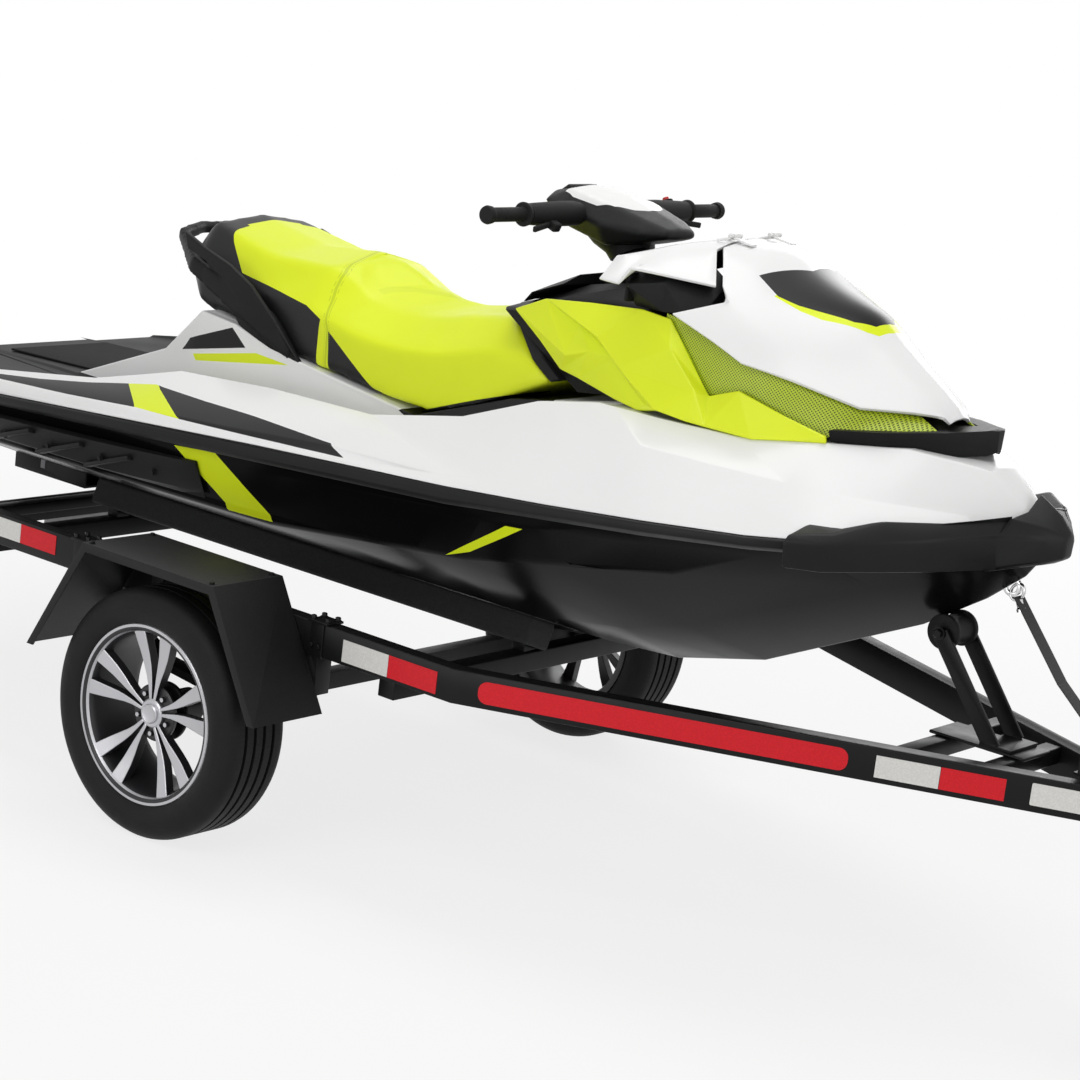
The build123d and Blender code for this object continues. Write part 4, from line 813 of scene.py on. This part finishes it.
shroud_columns = both_halves([
    [(712, 118, 1466), (712, 104, 1494), (712, 60, 1508), (712, 0, 1512)],
    [(736, 138, 1478), (738, 122, 1512), (740, 70, 1528), (742, 0, 1532)],
    [(770, 168, 1494), (772, 150, 1530), (774, 84, 1546), (776, 0, 1549)],
    [(822, 190, 1516), (824, 164, 1548), (826, 90, 1558), (828, 0, 1560)]])
dressed(sheet("column_shroud", shroud_columns, 5, levels=2), black_plastic, FIXED, "black_plastic")
on_both_sides(fittings, "bar_fittings_port", grip_rubber, "steering", "mat_foam")

f = gauge_glass = Finish("gauge_glass", (0.01, 0.012, 0.014), 0.08, gleam=0.5)
screen = (abs(f.y) < 0.034) * (f.x < forward(428))
f.feed("Base Color", f.mix(screen * (f.cells(700.0) > 0.25), (0.006, 0.006, 0.007), (0.035, 0.045, 0.042)))
bezel = slab("gauge_bezel", (414, 0, 1619), (60, 112, 14), 5, along=(0.8, 0, 0.6))
glass = slab("gauge_glass", (409.2, 0, 1625.4), (46, 94, 5), 2, along=(0.8, 0, 0.6))
dressed(bezel, black_plastic, "steering", "black_plastic")
dressed(glass, gauge_glass, "steering", "black_plastic")
f = switch_red = Finish("switch_red", (0.5, 0.012, 0.012), 0.3, gleam=0.4)
f.worn(80.0, 2, 0.1, 0.28)
base = spun("switch_base", (500, 262, 1603), (-0.5, 0, 0.86), [(-8, 0), (-8, 16), (5, 16), (7, 14), (7, 0)], 24)
button = spun("stop_switch", (497, 262, 1608), (-0.5, 0, 0.86), [(0, 0), (0, 8.5), (7, 8.5), (9, 7), (9, 0)], 24)
dressed(base, grip_rubber, "steering", "mat_foam")
dressed(button, switch_red, "steering", "red_lens")

# ------------------------------------------------------------ hood hinges
# Two low hinges between the cowl's front edge and the hood: a pin and two leaves on the cowl, one knuckle
# and leaf on the hood. They are screwed on from inside and painted with the covers.
HINGE_X, HINGE_Z = 955, 1602     # the hood's hinge line, mm
for side_name, y in (("starboard", -80), ("port", 80)):
    pin = spun("hinge_pin_" + side_name, (HINGE_X, y, HINGE_Z), (0, 1, 0),
               [(-23, 0), (-23, 4.6), (-22, 5.4), (-13.4, 5.4), (-13.4, 2.8), (13.4, 2.8), (13.4, 5.4), (22, 5.4),
                (23, 4.6), (23, 0)], steps=28)
    leaves = [slab("cowl_leaf", (937, y + s * 17.5, 1592), (40, 8, 6), 1.4, along=(1, 0, 0.30)) for s in (-1, 1)]
    dressed(together("cowl_hinge_" + side_name, pin, *leaves), cowl_gelcoat, FIXED, "white_gelcoat")
    knuckle = spun("knuckle", (HINGE_X, y, HINGE_Z), (0, 1, 0),
                   [(-12.5, 3.6), (-12.5, 6.2), (-11.5, 7), (11.5, 7), (12.5, 6.2), (12.5, 3.6), (-12.5, 3.6)],
                   steps=28)
    leaf = slab("hood_leaf", (984, y, 1593), (54, 22, 5), 1.4, along=(1, 0, -0.16))
    dressed(together("hood_hinge_" + side_name, knuckle, leaf), cowl_gelcoat, "hood", "white_gelcoat")

# ------------------------------------------------------------ trailer frame
# Welded black box-section frame: two rails that bend in to the tongue, cross members, the roller's post,
# winch stand, coupler and jack, all in satin paint over steel; the jack's inner tube is zinc plated.
f = zinc_plate = Finish("zinc_plate", (0.5, 0.5, 0.52), 0.35, metallic=1.0)
f.feed("Base Color", f.mix(f.cells(40.0, out="Color"), (0.42, 0.42, 0.44), (0.6, 0.6, 0.62)))
for name, node in (("rail_port", "rail_left"), ("rail_starboard", "rail_right"), ("cross_frame", "cross_members"),
                   ("axle_beam", "axle"), ("leaf_packs", "leaf_springs"), ("bunk_blocks", "bunk_brackets"),
                   ("roller_stand", "roller_post"), ("winch_frame", "winch"), ("coupler_head", "coupler"),
                   ("jack_outer", "jack"), ("lamp_bar", "light_bar")):
    packed(name, node, satin_black, "black_steel", radius=0.003)
packed("jack_inner", "jack_tube", zinc_plate, "zinc_tube", "jack_tube", radius=0.003)
for name, node, body in (("jockey_yoke", "jockey_fork", "jockey_fork"), ("hub_port", "hub_left", "wheel_left"),
                         ("hub_starboard", "hub_right", "wheel_right")):
    packed(name, node, satin_black, "black_steel", body, radius=0.003)

# ------------------------------------------------------------ fenders and bunks
# Folded sheet fenders in textured black, bolted to brackets on the rails, and timber bunks under the hull,
# wrapped in carpet and bolted to blocks on the cross members.
f = fender_sheet = Finish("fender_sheet", (0.025, 0.025, 0.026), 0.5, gleam=0.2)
f.mottled(5.0, (0.006, 0.006, 0.0065), (0.012, 0.012, 0.0125))
f.bump(f.noise(260.0, 3), 0.0008, 0.5)
for name, node in (("fender_port", "fender_left"), ("fender_starboard", "fender_right")):
    packed(name, node, fender_sheet, "fender_plastic", radius=0.004, segments=3)
f = bunk_carpet = Finish("bunk_carpet", (0.03, 0.03, 0.032), 0.95)
f.mottled(180.0, (0.008, 0.008, 0.009), (0.026, 0.026, 0.027))
f.bump(f.noise(500.0, 3), 0.003, 0.9)
packed("carpet_bunks", "bunks", bunk_carpet, "bunk_carpet", radius=0.008, segments=3)

# ------------------------------------------------------------ wheels
# Radial tyres with four tread grooves on cast alloy wheels: five double arms whose faces are machined bright,
# dark painted pockets, a bright lip, five lug bolts and a plain centre cap. Both wheels turn on their hubs.
WHEEL_Y, WHEEL_Z = 807, 305.5     # mm from the centre line and from the ground to the middle of a wheel


def radius_round(finish, x, z):
    """Both distances from an axle that lies across the craft at x, z, in metres, and the radius from it."""
    dx, dz = finish.x - x, finish.z - z
    return dx, dz, (dx * dx + dz * dz).math("SQRT")


f = tyre_rubber = Finish("tyre_rubber", (0.018, 0.018, 0.018), 0.65, gleam=0.15)
dx, dz, far = radius_round(f, forward(0), WHEEL_Z / 1000)
turn = dz.math("ARCTAN2", dx)
sipes = ((turn * 22.2817) % 1.0 < 0.10) * (far > 0.297)
rings = ((far * 260.0) % 1.0 < 0.22) * (far < 0.285) * (far > 0.255)
f.mottled(8.0, (0.006, 0.006, 0.006), (0.013, 0.013, 0.013))
f.worn(30.0, 3, 0.15, 0.5)
f.bump(1 - sipes + rings * 0.3 + f.noise(300.0, 2) * 0.12, 0.003, 0.8)
f = alloy = Finish("machined_alloy", (0.6, 0.6, 0.62), 0.3, metallic=1.0)
far = radius_round(f, forward(0), WHEEL_Z / 1000)[2]
crown = (f.ramp(far, 0.044, 0.120, 0.0598, 0.0628) + f.ramp(far, 0.120, 0.150, 0.0, 0.004)
         + f.ramp(far, 0.150, 0.205, 0.0, 0.012))
cut = (abs(f.y) - WHEEL_Y / 1000 > crown) * (1 - (far > 0.2035) * (far < 0.2125))
f.feed("Base Color", f.mix(cut, (0.018, 0.018, 0.02), (0.50, 0.50, 0.52)))
f.feed("Metallic", cut * 0.75 + 0.2)
f.feed("Roughness", cut * -0.05 + 0.36 + f.noise(60.0, 3) * 0.08)
f.bump(((far * 900.0) % 1.0) * cut, 0.0002, 0.25)
groove = []
for middle in (45, 15, -15, -45):
    groove += [(middle + 5, 305.3), (middle + 4, 298.0), (middle - 4, 298.0), (middle - 5, 305.3)]
shoulder = [(82, 205), (83, 220), (90, 224), (97, 234), (100, 248), (99.8, 262), (97.5, 276), (92, 289), (84, 298),
            (76, 303), (66, 305.3)]
hub, outward = (0, -WHEEL_Y, WHEEL_Z), (0, -1, 0)
tyre = spun("tyre_starboard", hub, outward, [(-82, 205)] + shoulder + groove + [(-h, r) for h,
    r in reversed(shoulder)], steps=96)
barrel = spun("rim_barrel", hub, outward, [(-60, 191), (-82, 199), (-89, 213), (-89, 220), (-82.2, 220),
    (-82.2, 204.8), (82.2, 204.8), (82.2, 220), (86, 221.5), (89, 219), (89, 209), (84, 203), (60, 193), (-60, 191)],
              steps=96)
face = spun("rim_face", hub, outward, [(40, 18.5), (40, 68), (48, 70), (52, 66), (52, 40), (60, 36), (63, 32),
    (63, 18.5), (40, 18.5)], steps=60)
cap = spun("rim_cap", hub, outward, [(55, 0), (55, 24), (66, 24), (69, 21.5), (68, 19), (68, 0)], steps=48)


def arm(name, sway):
    """Wheel arm grown outwards from the hub: a small face is extruded from section to section and widened."""
    run = [(34, 11.0, 8, 20, 62), (66, 9.5, 12, 24, 62), (92, 10.0, 18, 26, 63), (120, 11.3, 25, 26, 65),
           (150, 12.4, 31, 26, 69), (178, 12.8, 36, 26, 75), (206, 13.0, 41, 26, 81)]
    place = []
    for r, a, w, d, h in run:     # radius, angle in degrees, width, depth, height of the outer face, in mm
        lean = math.radians(a)
        place.append((spot(sway * r * math.sin(lean), -WHEEL_Y - (h - d / 2), WHEEL_Z + r * math.cos(lean)), w, d))
    bpy.ops.mesh.primitive_plane_add(size=1.0, location=place[0][0])
    bpy.context.object.scale = (place[0][1] / 1000, place[0][2] / 1000, 1)
    apply_place()
    edit_all()
    for (p, w, d), (q, w2, d2) in zip(place, place[1:]):
        bpy.ops.mesh.extrude_region_move(TRANSFORM_OT_translate={"value": q - p})
        bpy.ops.transform.resize(value=(w2 / w, d2 / d, 1), center_override=q)
    piece = closed(name, 50)
    bevelled(piece, 0.0016, 2, 50)
    return piece


def turned_copy(piece, degrees, centre, axis, name):
    """Copy of a finished piece turned round an axis through a point, with its own mesh."""
    twin = piece.copy()
    twin.data = piece.data.copy()
    twin.name = name
    bpy.context.scene.collection.objects.link(twin)
    about = Matrix.Translation(centre)
    twin.matrix_world = about @ Matrix.Rotation(math.radians(degrees), 4, axis) @ about.inverted()
    alone(twin)
    apply_place()
    return twin


hub_centre = spot(*hub)
arms = [arm("arm_left", -1), arm("arm_right", 1)]
lug = bolt("lug", (0, -WHEEL_Y - 51, WHEEL_Z + 51), outward, 7, 8)
spare = [turned_copy(p, 72 * k, hub_centre, "Y", "%s_%d" % (p.name, k)) for p in arms for k in (1, 2, 3, 4)]
lugs = [turned_copy(lug, 72 * k + 36, hub_centre, "Y", "lug_%d" % k) for k in range(1, 6)]
bpy.data.objects.remove(lug)
wheel = together("rim_starboard", barrel, face, cap, *arms, *spare, *lugs)
for piece, finish, slot, kind in ((tyre, tyre_rubber, "tyre_rubber", "tyre"), (wheel, alloy, "alloy", "rim")):
    twin = across(piece, kind + "_port")
    dressed(piece, finish, "wheel_right", slot, kind + "_right")
    dressed(twin, finish, "wheel_left", slot, kind + "_left")
f = jockey_rubber = Finish("jockey_rubber", (0.012, 0.012, 0.012), 0.6, gleam=0.15)
far = radius_round(f, 1.692, 0.1)[2]
f.feed("Base Color", f.mix(far < 0.062, (0.010, 0.010, 0.010), (0.16, 0.16, 0.165)))
f.worn(60.0, 3, 0.15, 0.45)
f.bump((abs(far - 0.066) < 0.004) * -1.0 + f.noise(300.0, 2) * 0.2, 0.002, 0.6)
packed("jockey_tyre", "jockey_wheel", jockey_rubber, "tyre_rubber", "jockey_wheel", radius=0.006)
packed("keel_roller_rubber", "keel_roller", tyre_rubber, "tyre_rubber", "keel_roller", radius=0.004)

# ------------------------------------------------------------ lamps, plate, strap
# Red plastic tail lamps and a blank plate screwed to the lamp bar, and the woven strap from the winch to
# the bow eye, where a steel snap hook takes it.
red_lens = Finish("red_lens", (0.5, 0.012, 0.02), 0.15, coat=0.6)
plate_paint = Finish("plate_paint", (0.55, 0.55, 0.55), 0.4)
f = webbing = Finish("webbing", (0.03, 0.03, 0.03), 0.8)
f.bump((abs((f.x * 300.0) % 1.0 - 0.5)) * (abs((f.y * 200.0) % 1.0 - 0.5)), 0.001, 0.8)
packed("tail_lamps", "tail_lights", red_lens, "red_lens", radius=0.005, segments=3)
packed("number_plate", "plate", plate_paint, "plate_grey", radius=0.001)
packed("winch_strap", "strap", webbing, "webbing", radius=0)
bpy.ops.mesh.primitive_torus_add(major_segments=48, minor_segments=14, major_radius=0.019, minor_radius=0.0042,
                                 rotation=(math.radians(90), 0, 0), location=(0, 0, 0))
link = bpy.context.object
link.scale = (0.8, 1, 1.35)
link.rotation_euler.y = math.radians(25)
link.location = spot(1773, 0, 946)
link = closed("snap_link", 60)
collar = spun("snap_collar", (1783, 0, 922), (0.42, 0, -0.9),
              [(-12, 0), (-12, 6), (-8, 8), (8, 8), (12, 11), (18, 11), (18, 0)], steps=24)
dressed(together("strap_snap_hook", link, collar), bright_steel, FIXED, "stainless")

# ------------------------------------------------------------ reflectors, side band and rail fittings
# Self-adhesive reflector strips in white and red, a red band with round ends and a plain white plate on the
# outer face of each rail; clamp plates with nuts over the rails ahead of and behind the fenders.
white_reflector = Finish("white_reflector", (0.72, 0.72, 0.70), 0.35)
red_reflector = Finish("red_reflector", (0.62, 0.004, 0.012), 0.3, gleam=0.3)
for f, pale, deep in ((white_reflector, (0.60, 0.59, 0.56), (0.72, 0.71, 0.68)),
                      (red_reflector, (0.54, 0.003, 0.010), (0.68, 0.006, 0.016))):
    comb = f.cells(260.0, out="Distance")
    f.feed("Base Color", f.mix(comb, pale, deep))
    f.worn(50.0, 2, 0.1, 0.28)
    f.bump(comb, 0.0004, 0.3)

RAIL_BEND_X = 767            # the rails run straight as far as this, mm
RAIL_BEND_SLOPE = 0.4621     # and then turn in by this much for each mm forward


def sticker(name, x0, x1, z0, z1, corner):
    """Thin strip on the starboard rail's outer face, which runs straight and then turns in."""
    def face_y(x):
        return -695.0 if x <= RAIL_BEND_X else -(697.3 - (x - RAIL_BEND_X) * RAIL_BEND_SLOPE)
    a, b = Vector((x0, face_y(x0), 0)), Vector((x1, face_y(x1), 0))
    bpy.ops.mesh.primitive_cube_add(size=1.0, location=(0, 0, 0))
    piece = bpy.context.object
    piece.scale = ((b - a).length / 1000, 0.0014, (z1 - z0) / 1000)
    bpy.ops.object.transform_apply(location=False, rotation=False, scale=True)
    bpy.ops.object.mode_set(mode="EDIT")
    choose(piece, "edges", lambda edge: abs(edge.verts[0].co.y - edge.verts[1].co.y) > 0.0005)
    bpy.ops.mesh.bevel(offset=corner / 1000, segments=8, affect="EDGES")
    piece.location = spot((x0 + x1) / 2, (a.y + b.y) / 2 - 0.3, (z0 + z1) / 2)
    piece.rotation_euler.z = math.atan2(b.y - a.y, b.x - a.x)
    return closed(name)


# kind, finish, slot, and each strip's rear and front end, lower and upper edge and corner radius in mm
STRIPS = (("white", white_reflector, "plate_grey", ((-850, -707, 541, 591, 1), (434, 577, 527, 580, 1),
                                                    (1651, 1779, 531, 581, 1))),
          ("red", red_reflector, "red_lens", ((-706, -571, 541, 591, 1), (578, 727, 527, 580, 1),
                                              (1780, 1909, 531, 581, 1), (829, 1596, 531, 583, 22))),
          ("plate", white_reflector, "plate_grey", ((1959, 2062, 534, 584, 4),)))
strips = {kind: [sticker("%s%d" % (kind[0], number), *strip) for number, strip in enumerate(table)]
          for kind, finish, slot, table in STRIPS}
for kind, finish, slot, table in STRIPS:
    piece = together("rail_%s_strips_starboard" % kind, *strips[kind])
    on_both_sides(piece, "rail_%s_strips_port" % kind, finish, FIXED, slot)

clamps = []
for x in (-480, 352):
    clamps.append(slab("clamp_plate", (x, -672.5, 601), (62, 58, 6), 1.5))
    clamps.append(slab("clamp_side", (x, -697.5, 558), (40, 5, 84), 1.2))
    for dx in (-22, 22):
        clamps.append(bolt("clamp_nut", (x + dx, -672.5 - 18, 604), (0, 0, 1), 7, 8))
        clamps.append(bolt("clamp_nut", (x + dx, -672.5 + 18, 604), (0, 0, 1), 7, 8))
        clamps.append(bolt("clamp_nut", (x + dx * 0.5, -700, 545), (0, -1, 0), 6, 6))
for x, z in ((-205, 684), (205, 684)):
    for y in (-912, -716):
        clamps.append(bolt("fender_bolt", (x, y, z - 2), (0, 0, 1), 6, 5))
clamps.append(bolt("roller_bolt", (1628, -62, 822), (0, -1, 0), 11, 8))
rail_clamps = together("rail_clamps_starboard", *clamps)
on_both_sides(rail_clamps, "rail_clamps_port", satin_black, FIXED, "black_steel")
